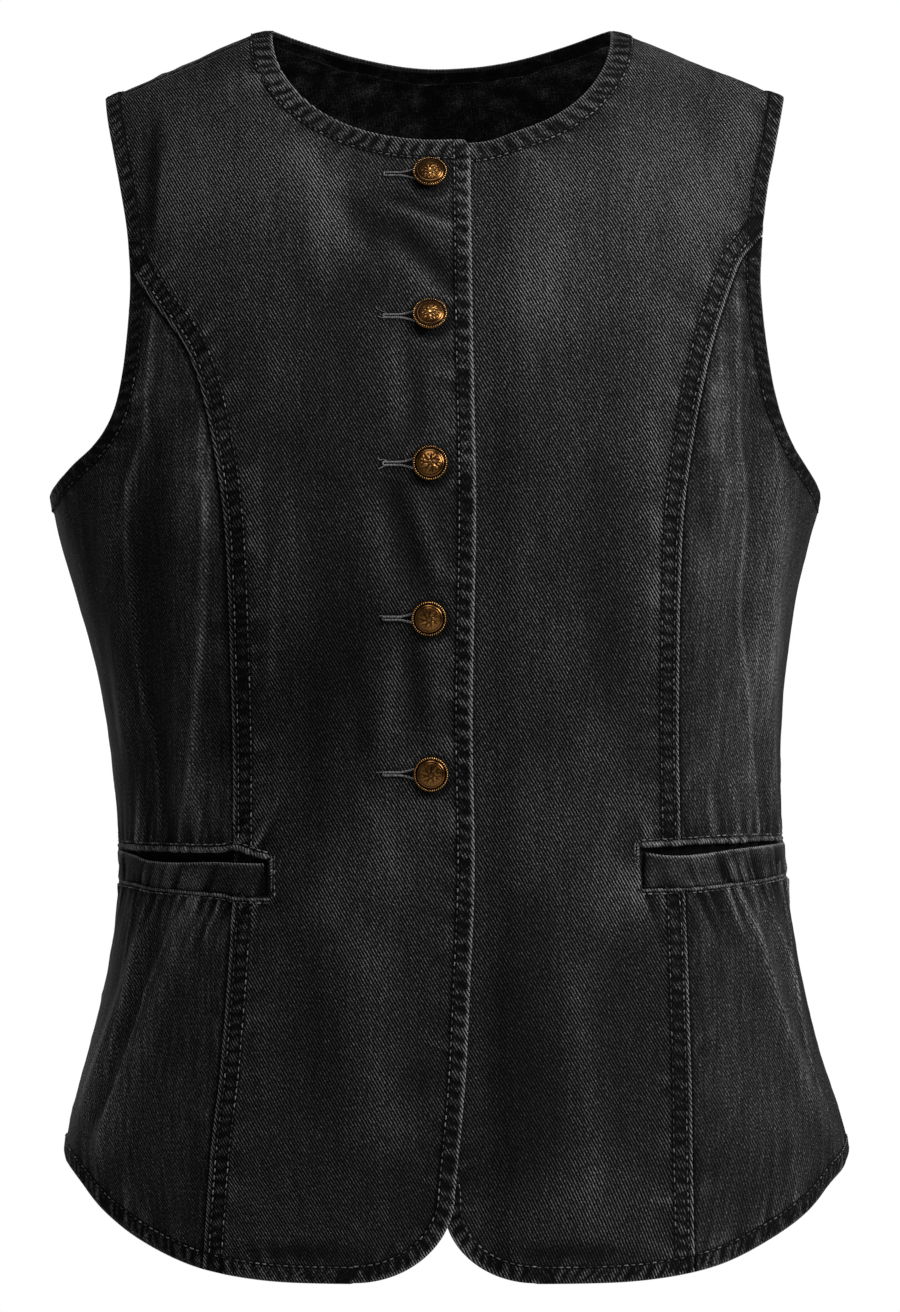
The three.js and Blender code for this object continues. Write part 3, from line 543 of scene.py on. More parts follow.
CREASES = table(
    "top_x top_z low_x low_z half rise back",
    # drag lines from the neck and the shoulder to the first buttons
    (-69, -59, -46, -116, 9, 1.3, 0),
    (-48, -84, -31, -111, 7, -1.3, 0),
    (-28, -83, -3, -95, 3, -1.3, 0),
    (-24, -90, 0, -101, 3, 1.2, 0),
    (-26, -97, 3, -128, 4.5, -1.6, 0),
    (-34, -104, -6, -134, 4.5, 1.0, 0),
    (-66, -92, -56, -129, 5, 0.7, 0),
    (-98, -20, -96, -34, 2.6, 0.7, 0),
    (-91, -18, -91, -32, 2.4, 0.6, 0),
    (-105, -22, -104, -38, 2.6, 0.6, 0),
    (-142, -48, -142, -112, 5, -1.5, 0),
    (-137, -66, -139, -106, 2.5, 0.7, 0),
    # crests of the folds under the arms, lighter as worn dye and as painted light
    (-139, -140, -143, -206, 1.7, 1.0, 0),
    (-143.5, -196, -144, -336, 1.7, 1.2, 0),
    (-144, -322, -137, -386, 1.7, 1.1, 0),
    (-115, -178, -112.5, -240, 1.8, 0.9, 0),
    (-112.5, -225, -115, -300, 1.8, 1.1, 0),
    (-115, -288, -125, -384, 1.8, 1.2, 0),
    (134, -122, 134, -212, 1.8, 0.9, 0),
    (134, -200, 136, -290, 1.8, 1.0, 0),
    (136, -278, 147, -384, 1.8, 1.1, 0),
    (125, -148, 120, -212, 5, 0.8, 0),
    (112, -170, 116, -240, 4, -0.8, 0),
    (-143, -414, -161, -490, 1.6, 1.3, 0),
    (-124, -414, -143, -458, 1.6, 1.3, 0),
    (-140, -446, -165, -532, 1.6, 1.3, 0),
    (140, -414, 159, -480, 2.2, 1.1, 0),
    (146, -410, 161, -447, 1.8, 1.2, 0),
    (159, -440, 179, -518, 2, 1.2, 0),
    (150, -60, 141, -112, 5, -1.0, 0),
    # between the buttons
    (-26, -154, -23, -194, 5, 0.9, 0),
    (-19, -156, -16, -200, 4.5, -0.9, 0),
    (-27, -221, -12, -272, 5, -1.4, 0),
    (-15, -230, -6, -264, 4, 0.9, 0),
    (-37, -224, -30, -276, 5, 0.8, 0),
    (-25, -298, -33, -346, 4.5, 0.7, 0),
    (-18, -290, -15, -338, 5, -1.4, 0),
    (-80, -248, -84, -316, 1.8, 0.8, 0),
    (-36, -366, -27, -410, 7, 0.8, 0),
    (-46, -300, -40, -352, 6, -0.8, 0),
    # long soft ones down the fronts
    (-92, -212, -89, -272, 4, 0.9, 0),
    (-74, -230, -70, -288, 5, 0.7, 0),
    (-62, -300, -66, -380, 8, -0.8, 0),
    (92, -190, 95, -292, 6, 0.8, 0),
    (70, -205, 74, -330, 9, -0.7, 0),
    (48, -60, 40, -150, 14, 0.8, 0),
    (58, -440, 62, -560, 8, 0.8, 0),
    (30, -410, 34, -540, 12, -0.7, 0),
    (-34, -430, -28, -530, 12, 0.8, 0),
    # side panels, above and below the welts
    (-147, -360, -147, -388, 3, 0.9, 0),
    (-138, -352, -139, -388, 3, 0.8, 0),
    (-130, -362, -130, -388, 2.6, 0.8, 0),
    (-119, -356, -119, -389, 3, 0.9, 0),
    (-110, -366, -111, -389, 2.6, 0.7, 0),
    (-150, -418, -154, -446, 1.6, 0.9, 0),
    (-134, -418, -137, -436, 1.6, 0.8, 0),
    (-119, -418, -122, -438, 1.8, 0.9, 0),
    (-113, -418, -114, -440, 1.6, 0.8, 0),
    (133, -356, 137, -386, 3, 0.9, 0),
    (141, -350, 143, -386, 3, 0.8, 0),
    (150, -362, 150, -385, 2.6, 0.8, 0),
    (122, -362, 123, -388, 2.6, 0.7, 0),
    (115, -414, 124, -434, 1.8, 0.8, 0),
    (131, -414, 137, -430, 1.6, 0.8, 0),
    (146, -411, 151, -430, 1.6, 0.8, 0),
    (158, -411, 163, -440, 1.8, 0.8, 0),
    # the back, as the same cloth would have them
    (-70, -60, -50, -180, 12, 1.0, 1),
    (66, -60, 52, -170, 12, 0.9, 1),
    (-20, -90, -26, -210, 16, -0.8, 1),
    (24, -260, 30, -420, 12, 0.9, 1),
    (-34, -280, -28, -430, 12, 0.8, 1),
    (-128, -180, -110, -236, 7, 1.2, 1),
    (124, -176, 108, -230, 7, 1.1, 1),
)


WASH_AND_LIGHT_SPOTS = table(
    "x z wide high tone back",
    # broad areas painted lighter and darker, partly as the wash left them and partly as painted
    # light and shade: mostly lighter high up and on the right side, darker lower down
    (-122, -62, 42, 62, 0.3, 0),
    (-60, -120, 40, 40, -0.14, 0),
    (84, -112, 60, 62, 0.17, 0),
    (132, -60, 40, 40, 0.22, 0),
    (136, -290, 24, 84, 0.36, 0),
    (-58, -262, 52, 74, -0.34, 0),
    (-150, -290, 30, 96, -0.1, 0),
    (-50, -505, 58, 66, -0.3, 0),
    (48, -500, 58, 78, -0.26, 0),
    (172, -505, 16, 30, 0.16, 0),
    (-168, -520, 15, 44, 0.3, 0),
    (-15, -496, 8, 12, -0.25, 0),
    (-72, -576, 24, 4, -0.6, 0),
    (56, -576, 24, 4, -0.6, 0),
    (-80, -120, 60, 70, 0.2, 1),
    (80, -120, 60, 70, 0.2, 1),
    (0, -480, 90, 60, -0.12, 1),
)

for rows in (FOLDS, CREASES):
    for end in ("top", "low"):
        spots = rows[end + "_x"], rows[end + "_z"]
        rows[end] = np.where(rows["back"] > 0, seen(*spots, "back")[:, 0], seen(*spots)[:, 0])


def bells(rows, angle, z):
    """Sum of long bells: each follows its line, is half wide at 1/e and fades at its ends."""
    total = np.zeros_like(z)
    for k in range(len(rows["half"])):
        row = {name: column[k] for name, column in rows.items()}
        top, low = row["top"], row["low"]
        drop = row["top_z"] - row["low_z"]
        fade = min(FOLD_FADE, drop * 0.6)
        line = top + (low - top) * np.clip((row["top_z"] - z) / drop, 0, 1)
        apart = angle - line
        apart = np.arctan2(np.sin(apart), np.cos(apart)) * FOLD_RADIUS
        lean = np.hypot(1, (low - top) * FOLD_RADIUS / drop)
        ends = smooth((row["top_z"] - z) / fade + 0.5) * smooth((z - row["low_z"]) / fade + 0.5)
        total += row["rise"] * ends * np.exp(-((apart / lean / row["half"]) ** 2))
    return total


def wash_and_light_spots(points):
    """Sum of soft ovals, each at its place on the front or the back: spots of the wash and of
    painted light and shade.
    """
    total = np.zeros(len(points))
    for x, z, wide, high, tone, back in zip(*WASH_AND_LIGHT_SPOTS.values()):
        spot = ((points[:, 0] - x) / wide) ** 2 + ((points[:, 2] - z) / high) ** 2
        total += tone * np.exp(-spot) * ((points[:, 1] > 0) == back)
    return total


# %% Distances to a line
NEAR = 26


def distances(points, line):
    """Distance from each point to a polyline, and how far along it the nearest spot is."""
    start, leap = line[:-1], np.diff(line, axis=0)
    size = (leap**2).sum(-1)
    run = np.concatenate([[0], np.cumsum(np.sqrt(size))])
    away, at = np.full(len(points), 1e3), np.zeros(len(points))
    low, high = line.min(0) - NEAR, line.max(0) + NEAR
    close = np.flatnonzero(((points > low) & (points < high)).all(-1))
    for part in np.array_split(close, max(1, len(close) // 4000)):
        offset = points[part, None] - start
        share = np.clip((offset * leap).sum(-1) / size, 0, 1)
        gap = np.linalg.norm(offset - share[..., None] * leap, axis=-1)
        best = gap.argmin(1)
        pick = np.arange(len(part))
        away[part] = gap[pick, best]
        at[part] = run[best] + share[pick, best] * (run[best + 1] - run[best])
    return away, at


# %% Roping
def roping(away, at, width, pitch, slant, seed):
    """Hollows across a border: bells at uneven steps along it, each with its own depth,
    length and slant, and lighter ridges between them."""
    random = np.random.default_rng(seed)
    count = int(at.max() / pitch * 1.4) + 8
    spots = np.cumsum(pitch * random.uniform(0.72, 1.3, count)) - pitch
    deep, lean = random.uniform(0.55, 1, count), slant * random.uniform(0.5, 1.3, count)
    wide, middle = random.uniform(0.17, 0.32, count), random.uniform(0.5, 0.64, count)
    at = at + 0.14 * pitch * rumple(at, away * 1.5, 2.6, seed + 5)
    hollow = np.zeros_like(away)
    inside = np.flatnonzero(away < 1.35 * width)
    for k in range(count):
        part = inside[np.abs(at[inside] - spots[k]) < 1.2 * pitch]
        across = (away[part] - middle[k] * width) / width
        run = (at[part] - spots[k] - lean[k] * across * width) / (wide[k] * pitch)
        hollow[part] += deep[k] * np.exp(-np.abs(run) ** 3 - (across / 0.38) ** 4)
    return np.minimum(hollow, 1.2)


def ripples(at, pitch, seed):
    """Uneven soft waves along a seam, between -1 and 1."""
    random = np.random.default_rng(seed)
    knots = np.cumsum(pitch * random.uniform(0.5, 1.5, int(at.max() / pitch * 1.4) + 6))
    height = random.uniform(-1, 1, len(knots))
    i = np.clip(np.searchsorted(knots, at) - 1, 0, len(knots) - 2)
    return mix(height[i], height[i + 1], smooth((at - knots[i]) / (knots[i + 1] - knots[i])))


def rumple(u, v, size, seed):
    """Smooth uneven ground between -1 and 1: random heights on a grid, blended softly."""
    random = np.random.default_rng(seed)
    a, b = u / size + 40, v / size + 40
    heights = random.uniform(-1, 1, (160, 160))
    i, j = np.floor(a).astype(int) % 159, np.floor(b).astype(int) % 159
    s, t = smooth(a % 1), smooth(b % 1)
    low = mix(heights[i, j], heights[i + 1, j], s)
    return mix(low, mix(heights[i, j + 1], heights[i + 1, j + 1], s), t)


# %% [markdown]
# ## Pocket lines
# Each front has a welt pocket that runs from the centre front panel over the princess seam
# to the side. Its lines are a turned lip above, the mouth under it, the top of the welt and
# the seam at its foot. Each line is given by its height at distances from the middle.

# %% Lines of the pockets
POCKETS = {
    "right": table(
        "x lip mouth welt foot",
        (83.4, -393, -394.6, -396.7, -413.5),
        (90.2, -391.1, -393.8, -396.7, -413.6),
        (100.1, -387.7, -390.6, -396.6, -413.4),
        (106, -389, -391.8, -396.4, -412),
        (113.1, -389.3, -392.1, -396.4, -411.6),
        (128, -389.3, -392.1, -397, -410.6),
        (142.3, -389.3, -392.1, -396.4, -409.6),
        (148.5, -389.3, -392, -394.3, -408.4),
        (158, -389.3, -391.6, -392.5, -407.6),
    ),
    "left": table(
        "x lip mouth welt foot",
        (87.6, -387, -389.3, -391.2, -409.3),
        (102.3, -386.4, -388.6, -393.2, -409.3),
        (114.9, -385.9, -387.9, -392.9, -409),
        (134.9, -385.1, -388.2, -390.7, -407.3),
        (148, -385.4, -387.2, -389.6, -406),
        (158, -385.9, -388, -389, -404.6),
    ),
}
POCKET_REACH = np.radians(88)
MOUTH = dict(depth=1.3, end=1, top=0.9, foot=0.5, soft=1.2, closes=156, fade=8)


def pocket_line(side, name, start=0.0):
    """Places along one line of a pocket, from its end in the front to the side seam."""
    rows = POCKETS[side]
    end = seen(SIGN[side] * (rows["x"][0] + start), rows[name][0])
    angle = mix(end[0], SIGN[side] * POCKET_REACH, T)
    z = np.full_like(T, rows[name][0])
    for _ in range(4):
        line = np.stack([angle, roll_of(z)], -1)
        z = curve(rows, name, np.abs(plain(line)[:, 0]))
    return line


def pocket_end(side, start=0.0):
    """The upright line at the pocket's end, from the lip down to the foot."""
    rows = POCKETS[side]
    z = mix(rows["lip"][0], rows["foot"][0], T)
    return seen(np.full_like(z, SIGN[side] * (rows["x"][0] + start)), z)


def in_pocket(points):
    """1 inside the pocket mouths, where the cloth lies lower, and 0 outside."""
    inside = np.zeros(len(points))
    for side, rows in POCKETS.items():
        x, z = SIGN[side] * points[:, 0], points[:, 2]
        past_end = smooth((x - rows["x"][0] - MOUTH["end"]) / MOUTH["soft"])
        under = smooth((curve(rows, "mouth", x) + MOUTH["top"] - z) / MOUTH["soft"])
        over = smooth((z - curve(rows, "foot", x) - MOUTH["foot"]) / MOUTH["soft"])
        closing = smooth((MOUTH["closes"] - x) / MOUTH["fade"])
        inside += past_end * under * over * closing * (points[:, 1] < 0)
    return inside


# %% Painted shadow under the buttons, and rubbing round them
BUTTONS = table(
    "z x tilt",
    (-74, -9.4, 4),
    (-142, -9.3, 12),
    (-211, -9.2, 0),
    (-282.5, -9.7, 0),
    (-354.6, -8.8, 0),
)
# dark: painted shadow under each button, set off by x and z; rub: a rubbed ring round it
BUTTON_SHADOW_AND_RUB = dict(x=0.8, z=-1.2, reach=8.6, soft=2.6, dark=-0.5, ring=12.5, wide=1.5, rub=0.16)
# the buttonhole's slit, painted dark as shade
SLIT_SHADE = dict(start=-31.5, end=-14, half=1.5, dark=-0.8)


def button_shadow_and_rub(points):
    """Tone round the buttons: a painted shadow under each button, set a little to the lower right,
    a rubbed ring round it, and painted shade in the slit of the buttonhole."""
    total = np.zeros(len(points))
    for z, x in zip(BUTTONS["z"], BUTTONS["x"]):
        away = np.hypot(points[:, 0] - x - BUTTON_SHADOW_AND_RUB["x"], points[:, 2] - z - BUTTON_SHADOW_AND_RUB["z"])
        # painted shadow under the button
        total += BUTTON_SHADOW_AND_RUB["dark"] * (1 - smooth((away - BUTTON_SHADOW_AND_RUB["reach"]) / BUTTON_SHADOW_AND_RUB["soft"]))
        total += BUTTON_SHADOW_AND_RUB["rub"] * bell(away, BUTTON_SHADOW_AND_RUB["ring"], BUTTON_SHADOW_AND_RUB["wide"])
        inside = (points[:, 0] > SLIT_SHADE["start"]) & (points[:, 0] < SLIT_SHADE["end"])
        # painted shade in the slit
        total += SLIT_SHADE["dark"] * inside * bell(points[:, 2], z, SLIT_SHADE["half"])
    return total * (points[:, 1] < 0)


# %% [markdown]
# ## Borders
# Where an edge is turned in and stitched, the cloth is three layers thick, so it stands
# proud, dips along the stitching and ropes. A felled seam has two rows of stitches.
# Each kind of border is one row of sizes in millimetres; shares have no unit.

# %% The kinds of border
WALL = dict(sheet=1.19, in_band=0.5, off_edge=0.9, least=0.35)
ROPE_DEPTH = 0.5
BORDER_SIZES = "width rise rope pitch slant shade wear pull reach rows".split()
BORDERS = {
    name: dict(zip(BORDER_SIZES, row))
    for name, row in {
        "neck": (10.2, 0.8, 1.4, 5.6, 0.3, 0.3, 0.6, 0.9, 5, (10.2,)),
        "back neck": (10.2, 0.8, 1.0, 6, 0.3, -0.3, 0.3, 0.9, 5, (10.2,)),
        "armhole": (7.6, 0.7, 1.0, 6, 0.4, 0.05, 0.4, 0.8, 6, (7.6,)),
        "underarm": (7.6, 0.7, 1.3, 5.2, 0.5, -0.05, 0.5, 0.8, 6, (7.6,)),
        "hem": (7.6, 0.7, 1.6, 5, 0.7, 0.3, 0.35, 1.0, 6, (7.6,)),
        "placket": (7.7, 0.8, 1.8, 5.8, 0.3, 0.35, 1.2, 1.0, 6, (7.7,)),
        "felled": (9.9, 0.7, 1.2, 5.4, 0.2, 0.1, 1, 0.8, 6, (2.9, 9.2)),
        "joined": (3, -0.5, 0.3, 7, 0.3, 0, 0, 0.5, 8, ()),
        "shoulder": (3.2, -0.3, 0.2, 7, 0.3, 0.35, 0, 0.8, 10, ()),
        "lip": (0.6, 0, 0, 2.8, -0.25, 0, 0, 2.2, 10, ()),
        "foot": (0.6, 0, 0, 2.8, 0.35, 0, 0, 2.4, 12, ()),
    }.items()
}
EDGE_ROUND = 1.3
FAR_OFF = 20.0
SEAM_NARROW = 0.7
ROWS = ("row_a", "row_b", "row_c")
# what each part of the relief adds to the height in mm and to the tone
IN_HEIGHT = dict(folds=1, creases=1, uneven=1, band=1, edge=-0.45, pull=0.3, mouth=-MOUTH["depth"])
# tone follows the relief: raised folds, creases, gathers and unevenness are painted lighter and
# sunken ones darker, and the roping hollows and the pocket mouths darker still, partly as worn and
# kept dye and partly as painted light and shade
IN_TONE_WEAR_AND_SHADE = dict(folds=0.1, creases=0.36, uneven=0.26, hollow=-1.15, pull=0.34, mouth=-1.2)
TONE_LIMITS = (-1.5, 1)


def marks(lines, place):
    """Signed distances from three sets of stitch rows, and the distance from the edges, shorter
    where they are more worn. From them the material paints the grooves of the rows dark as shade,
    and the edges worn light, finer than the mesh could. Rows that meet at a corner are in
    different sets."""
    points = plain(place)
    found = {name: np.full(len(place), FAR_OFF) for name in (*ROWS, "brink")}
    for kind, line, _ in lines:
        b = BORDERS[kind]
        if kind in ("lip", "foot"):
            continue
        away = distances(points, plain(line))[0]
        sets = ROWS[1:] if kind in ("placket", "felled") else ROWS[:1]
        for name, row in zip(sets, b["rows"] or (0,)):
            gap = (away - row) * (1 if b["rows"] else SEAM_NARROW)
            found[name] = np.where(np.abs(gap) < np.abs(found[name]), gap, found[name])
        if b["wear"]:
            found["brink"] = np.minimum(found["brink"], away / b["wear"])
    return found


def relief(lines, place):
    """Height above the plain form in mm, tone from -1.5 dark to 1 light, which holds worn and kept
    dye as well as painted light and shade, and the wall's thickness, at each place, from the folds
    and from the borders along the lines."""
    points = plain(place)
    angle, z = place[:, 0], points[:, 2]
    angle = np.where(place[:, 1] < 0, np.sign(angle) * HALF_TURN - angle, angle)
    girth = angle * FOLD_RADIUS
    uneven = 0.45 * rumple(girth, z * 0.5, 21, 3) + 0.14 * rumple(girth, z, 9, 4)
    band, shade, hollow, edge, pull = (np.zeros_like(z) for _ in range(5))
    for kind, line, seed in lines:
        b = BORDERS[kind]
        away, at = distances(points, plain(line))
        covered = 1 - smooth((away - b["width"]) / 1.8 + 0.4)
        band = np.where(np.abs(b["rise"]) * covered > np.abs(band), b["rise"] * covered, band)
        shade += b["shade"] * covered
        ropes = roping(away, at, b["width"], b["pitch"], b["slant"], seed) if b["rope"] else 0
        hollow = np.maximum(hollow, b["rope"] * ropes)
        edge = np.maximum(edge, (1 - np.minimum(away / EDGE_ROUND, 1)) ** 2)
        past = np.maximum(away - b["width"], 0)
        at = np.maximum(at - b["slant"] * past, 0)
        wave = ripples(at, b["pitch"] * 0.9, seed + 90) + 0.35 * ripples(at, 3.5, seed + 70)
        wave += np.maximum(wave, 0) ** 2 - 0.3
        pull += wave * np.exp(-past / b["reach"]) * smooth(past / 1.5) * b["pull"]
    parts = dict(folds=bells(FOLDS, angle, z), creases=bells(CREASES, angle, z), uneven=uneven)
    parts.update(band=band, hollow=hollow, edge=edge, pull=pull, mouth=in_pocket(points))
    height = sum(share * parts[name] for name, share in IN_HEIGHT.items())
    height = height - ROPE_DEPTH * np.minimum(hollow, 1)
    tone = sum(share * parts[name] for name, share in IN_TONE_WEAR_AND_SHADE.items())
    # tone also gets the wash spots, which are partly painted light and shade, a painted shadow
    # under each button, painted shade in the buttonhole slits, and the borders' shade
    tone = tone + wash_and_light_spots(points) + button_shadow_and_rub(points) + shade
    wall = WALL["sheet"] + WALL["in_band"] * np.maximum(band, 0) - WALL["off_edge"] * edge
    return height, np.clip(tone, *TONE_LIMITS), np.maximum(wall, WALL["least"])


# %% [markdown]
# ## The cloth's own coordinates
# The weave has to run with the grain at its real size, so each panel carries a UV map in
# millimetres of cloth: how far round the body a place is, and how far above the waist,
# both measured on the form.

# %% Millimetres of cloth
ANGLES, ROLLS = np.linspace(-1.8, 4.9, 240), np.linspace(-0.6, 4.4, 160)
MESHED = np.stack(np.meshgrid(ANGLES, ROLLS), -1)


def summed(points, axis, start):
    size = np.linalg.norm(np.diff(points, axis=axis), axis=-1)
    run = np.cumsum(size, axis=axis)
    run = np.concatenate([np.zeros_like(np.take(run, [0], axis)), run], axis)
    return run - np.take(run, [start], axis)


ROUND = summed(plain(MESHED), 1, int(np.abs(ANGLES).argmin()))
DOWN = summed(plain(MESHED), 0, int(np.abs(ROLLS - roll_of(-330)).argmin()))


def cloth_mm(place):
    """Millimetres of cloth round from the centre front and up from the waist."""
    a = (place[:, 0] - ANGLES[0]) / (ANGLES[1] - ANGLES[0])
    r = (place[:, 1] - ROLLS[0]) / (ROLLS[1] - ROLLS[0])
    i = np.clip(a.astype(int), 0, len(ANGLES) - 2)
    j = np.clip(r.astype(int), 0, len(ROLLS) - 2)
    s, t = a - i, r - j
    both = []
    for field in (ROUND, -DOWN):
        low = mix(field[j, i], field[j, i + 1], s)
        both.append(mix(low, mix(field[j + 1, i], field[j + 1, i + 1], s), t))
    return np.stack(both, -1)


# %% [markdown]
# ## From places to a mesh
# A panel's mesh is a closed shell: the grid on its outer face, the same grid one wall
# further in, and a rim between them. Tone and face are kept as attributes, because the
# material needs them.

# %% Shells
INNER_TONE = 0.4


def grid_quads(rows, columns):
    """Corner indices of a grid's cells, turned so that they face outwards."""
    index = np.arange(rows * columns).reshape(rows, columns)
    corners = [index[:-1, :-1], index[:-1, 1:], index[1:, 1:], index[1:, :-1]]
    return np.stack([c.ravel() for c in corners], -1)


def grid_rim(rows, columns):
    index = np.arange(rows * columns).reshape(rows, columns)
    return np.concatenate([index[0, :-1], index[:-1, -1], index[-1, :0:-1], index[:0:-1, 0]])


def add_mesh(name, points, faces, uv=None, smooth_faces=True, **attributes):
    """A mesh object from points in millimetres, its list of faces, a UV for each point and
    named numbers for each point."""
    mesh = bpy.data.meshes.new(name)
    mesh.from_pydata((points * MM).tolist(), [], faces)
    if uv is not None:
        corner = np.empty(len(mesh.loops), np.int32)
        mesh.loops.foreach_get("vertex_index", corner)
        layer = mesh.uv_layers.new(name="cloth")
        layer.data.foreach_set("uv", (uv[corner] * MM).astype(np.float32).ravel())
    for key, values in attributes.items():
        layer = mesh.attributes.new(key, "FLOAT", "POINT")
        layer.data.foreach_set("value", np.asarray(values, np.float32))
    mesh.polygons.foreach_set("use_smooth", np.full(len(mesh.polygons), smooth_faces))
    mesh.update()
    piece = bpy.data.objects.new(name, mesh)
    bpy.context.scene.collection.objects.link(piece)
    return piece


def shell(name, grid, height, wall, tone, **marked):
    """A closed sheet of cloth: the grid's places at a height, and again one wall below."""
    rows, columns = grid.shape[:2]
    place = grid.reshape(-1, 2)
    points, normal = plain(place), directions(place)[2]
    outer = points + normal * height[:, None]
    inner = points + normal * (height - wall)[:, None]
    quads, rim = grid_quads(rows, columns), grid_rim(rows, columns)
    count = len(place)
    first, second, _, fourth = outer[quads.T]
    if (np.cross(second - first, fourth - first) * normal[quads[:, 0]]).sum() < 0:
        quads, rim = quads[:, ::-1], rim[::-1]
    after = np.roll(rim, -1)
    sides = np.stack([rim, rim + count, after + count, after], -1)
    faces = np.concatenate([quads, quads[:, ::-1] + count, sides])
    uv = cloth_mm(place)
    piece = add_mesh(
        name,
        np.concatenate([outer, inner]),
        faces.tolist(),
        np.concatenate([uv, uv]),
        tone=np.concatenate([tone, tone * INNER_TONE]),
        **{key: np.concatenate([values, values]) for key, values in marked.items()},
    )
    inner_face = np.repeat([0, 1, 0], [len(quads), len(quads), len(sides)])
    piece.data.polygons.foreach_set("material_index", inner_face.astype(np.int32))
    print(f"{name}: {2 * len(faces)} triangles")
    return piece


# %% [markdown]
# ## The five panels
# Each panel is its four sides, its kinds of border and the number of cells. The front on
# the wearer's left lies under the other one, so it sinks behind it where they lap.

# %% Sides and borders of the panels
SIDE_TOP_CUT = {"arm": 3, "seam": 1}
LAP = dict(drop=3.3, start=34, end=15)


def pocket_gathers(side, seed):
    lines = {name: even(pocket_line(side, name), 120) for name in ("lip", "foot")}
    return [(name, line, seed + len(name)) for name, line in lines.items()]


def front_panel(side, layer):
    edge = front_edge(layer, side)
    foot = princess_foot(side)
    hem = hem_line(edge["lower"][-1][0], foot[0])
    seam, arm = princess_line(side), armhole_line(side, "front", PRINCESS_TOP[side], 0)
    neck = neck_line(edge["neck"], neck_seam(side), "front")
    seed = 10 if side == "right" else 30
    opening = even(edge["lower"][::-1], 400, edge["upper"], edge["edge"])
    return dict(
        foot=even(edge["lower"], 400, hem),
        far=even(seam, 900, arm),
        top=even(shoulder_line(side), 400),
        near=even(edge["upper"], 900, eased(edge["edge"], neck, 5 if layer == "over" else 2)),
        lines=[
            ("hem", even(hem, 260), seed),
            ("felled", even(seam, 260), seed + 1),
            ("armhole", even(arm, 160), seed + 2),
            ("joined", even(shoulder_line(side), 80), seed + 3),
            ("neck", even(neck, 200), seed + 4),
            ("placket", opening, seed + 5),
            *pocket_gathers(side, seed + 6),
        ],
    )


def side_panel(side):
    seam = princess_line(side)[: -SIDE_TOP_CUT["seam"]]
    arm = armhole_line(side, "front", UNDERARM, PRINCESS_TOP[side])[: -SIDE_TOP_CUT["arm"]]
    hem = hem_line(seam[0][0], SIGN[side] * QUARTER)
    top = mix(seam[-1], arm[-1], T[:, None])
    seed = 50 if side == "right" else 70
    return dict(
        foot=even(hem, 400),
        far=even(side_line(side), 900, arm),
        top=top,
        near=even(seam, 900),
        lines=[
            ("hem", even(hem, 160), seed),
            ("joined", even(side_line(side), 160), seed + 1),
            ("underarm", even(arm, 160), seed + 2),
            ("joined", even(seam, 260), seed + 3),
            *pocket_gathers(side, seed + 6),
        ],
    )


def back_panel():
    seam = {s: on_back(side_line(s)) for s in SIGN}
    arm = {s: armhole_line(s, "back", UNDERARM, 0) for s in SIGN}
    shoulder = {s: over_ridge(shoulder_line(s)) for s in SIGN}
    hem, neck = hem_line(QUARTER, 3 * QUARTER), back_neck_line()
    return dict(
        foot=even(hem, 600),
        far=even(seam["right"], 900, arm["right"]),
        top=even(shoulder["left"][::-1], 900, neck, shoulder["right"]),
        near=even(seam["left"], 900, arm["left"]),
        lines=[
            ("hem", even(hem, 300), 90),
            ("joined", even(seam["left"], 160), 91),
            ("joined", even(seam["right"], 160), 92),
            ("underarm", even(arm["left"], 200), 93),
            ("underarm", even(arm["right"], 200), 94),
            ("shoulder", even(shoulder["left"], 80), 95),
            ("shoulder", even(shoulder["right"], 80), 96),
            ("back neck", even(neck, 200), 97),
        ],
    )


def lap_drop(place):
    """How far the under front sinks behind the over front at each place."""
    x = plain(place)[:, 0]
    return LAP["drop"] * smooth((LAP["start"] - x) / (LAP["start"] - LAP["end"]))


PANELS = {
    "front_right": dict(front_panel("right", "over"), cells=(90, 430)),
    "front_left": dict(front_panel("left", "under"), cells=(94, 420), drop=lap_drop),
    "side_front_right": dict(side_panel("right"), cells=(104, 270)),
    "side_front_left": dict(side_panel("left"), cells=(104, 270)),
    "back": dict(back_panel(), cells=(140, 240)),
}

# %% Making the panels
pieces = {}


def at_height(panel, place):
    """Outer height, tone and wall of a panel at places, its sinking included."""
    height, tone, wall = relief(panel["lines"], place)
    if "drop" in panel:
        height = height - panel["drop"](place)
    return height, tone, wall


for name, panel in PANELS.items():
    across, up = panel["cells"]
    sides = [panel[side] for side in ("foot", "far", "top", "near")]
    panel["grid"] = patch(*sides, across, up)
    height, tone, wall = at_height(panel, panel["grid"].reshape(-1, 2))
    drawn = marks(panel["lines"], panel["grid"].reshape(-1, 2))
    pieces[name] = shell(f"{name}_cloth", panel["grid"], height, wall, tone, **drawn)

# %% [markdown]
# ## Pocket welts
# A welt is a folded strip sewn into the slit at its foot, and it stands in the opening. Its fold
# is worn light, its foot is pulled into small gathers by the seam, and it gapes a little. The
# crests of the gathers are painted light and their troughs dark, as light and shade. Its foot and
# ends are painted dark as shade, and the mouth above it is painted dark as shade as well.

# %% The welts
WELT = dict(start=3.2, length=78, height=17, foot=0.1, gape=1.5, cells=(150, 30), thick=1.5)


def welt_grid(side):
    """Places between the foot line and the fold line, blended up the welt."""
    columns, rows = WELT["cells"]
    ends = [even(pocket_line(side, name, WELT["start"]), columns) for name in ("foot", "welt")]
    return mix(*ends, np.linspace(0, 1, rows)[:, None, None])


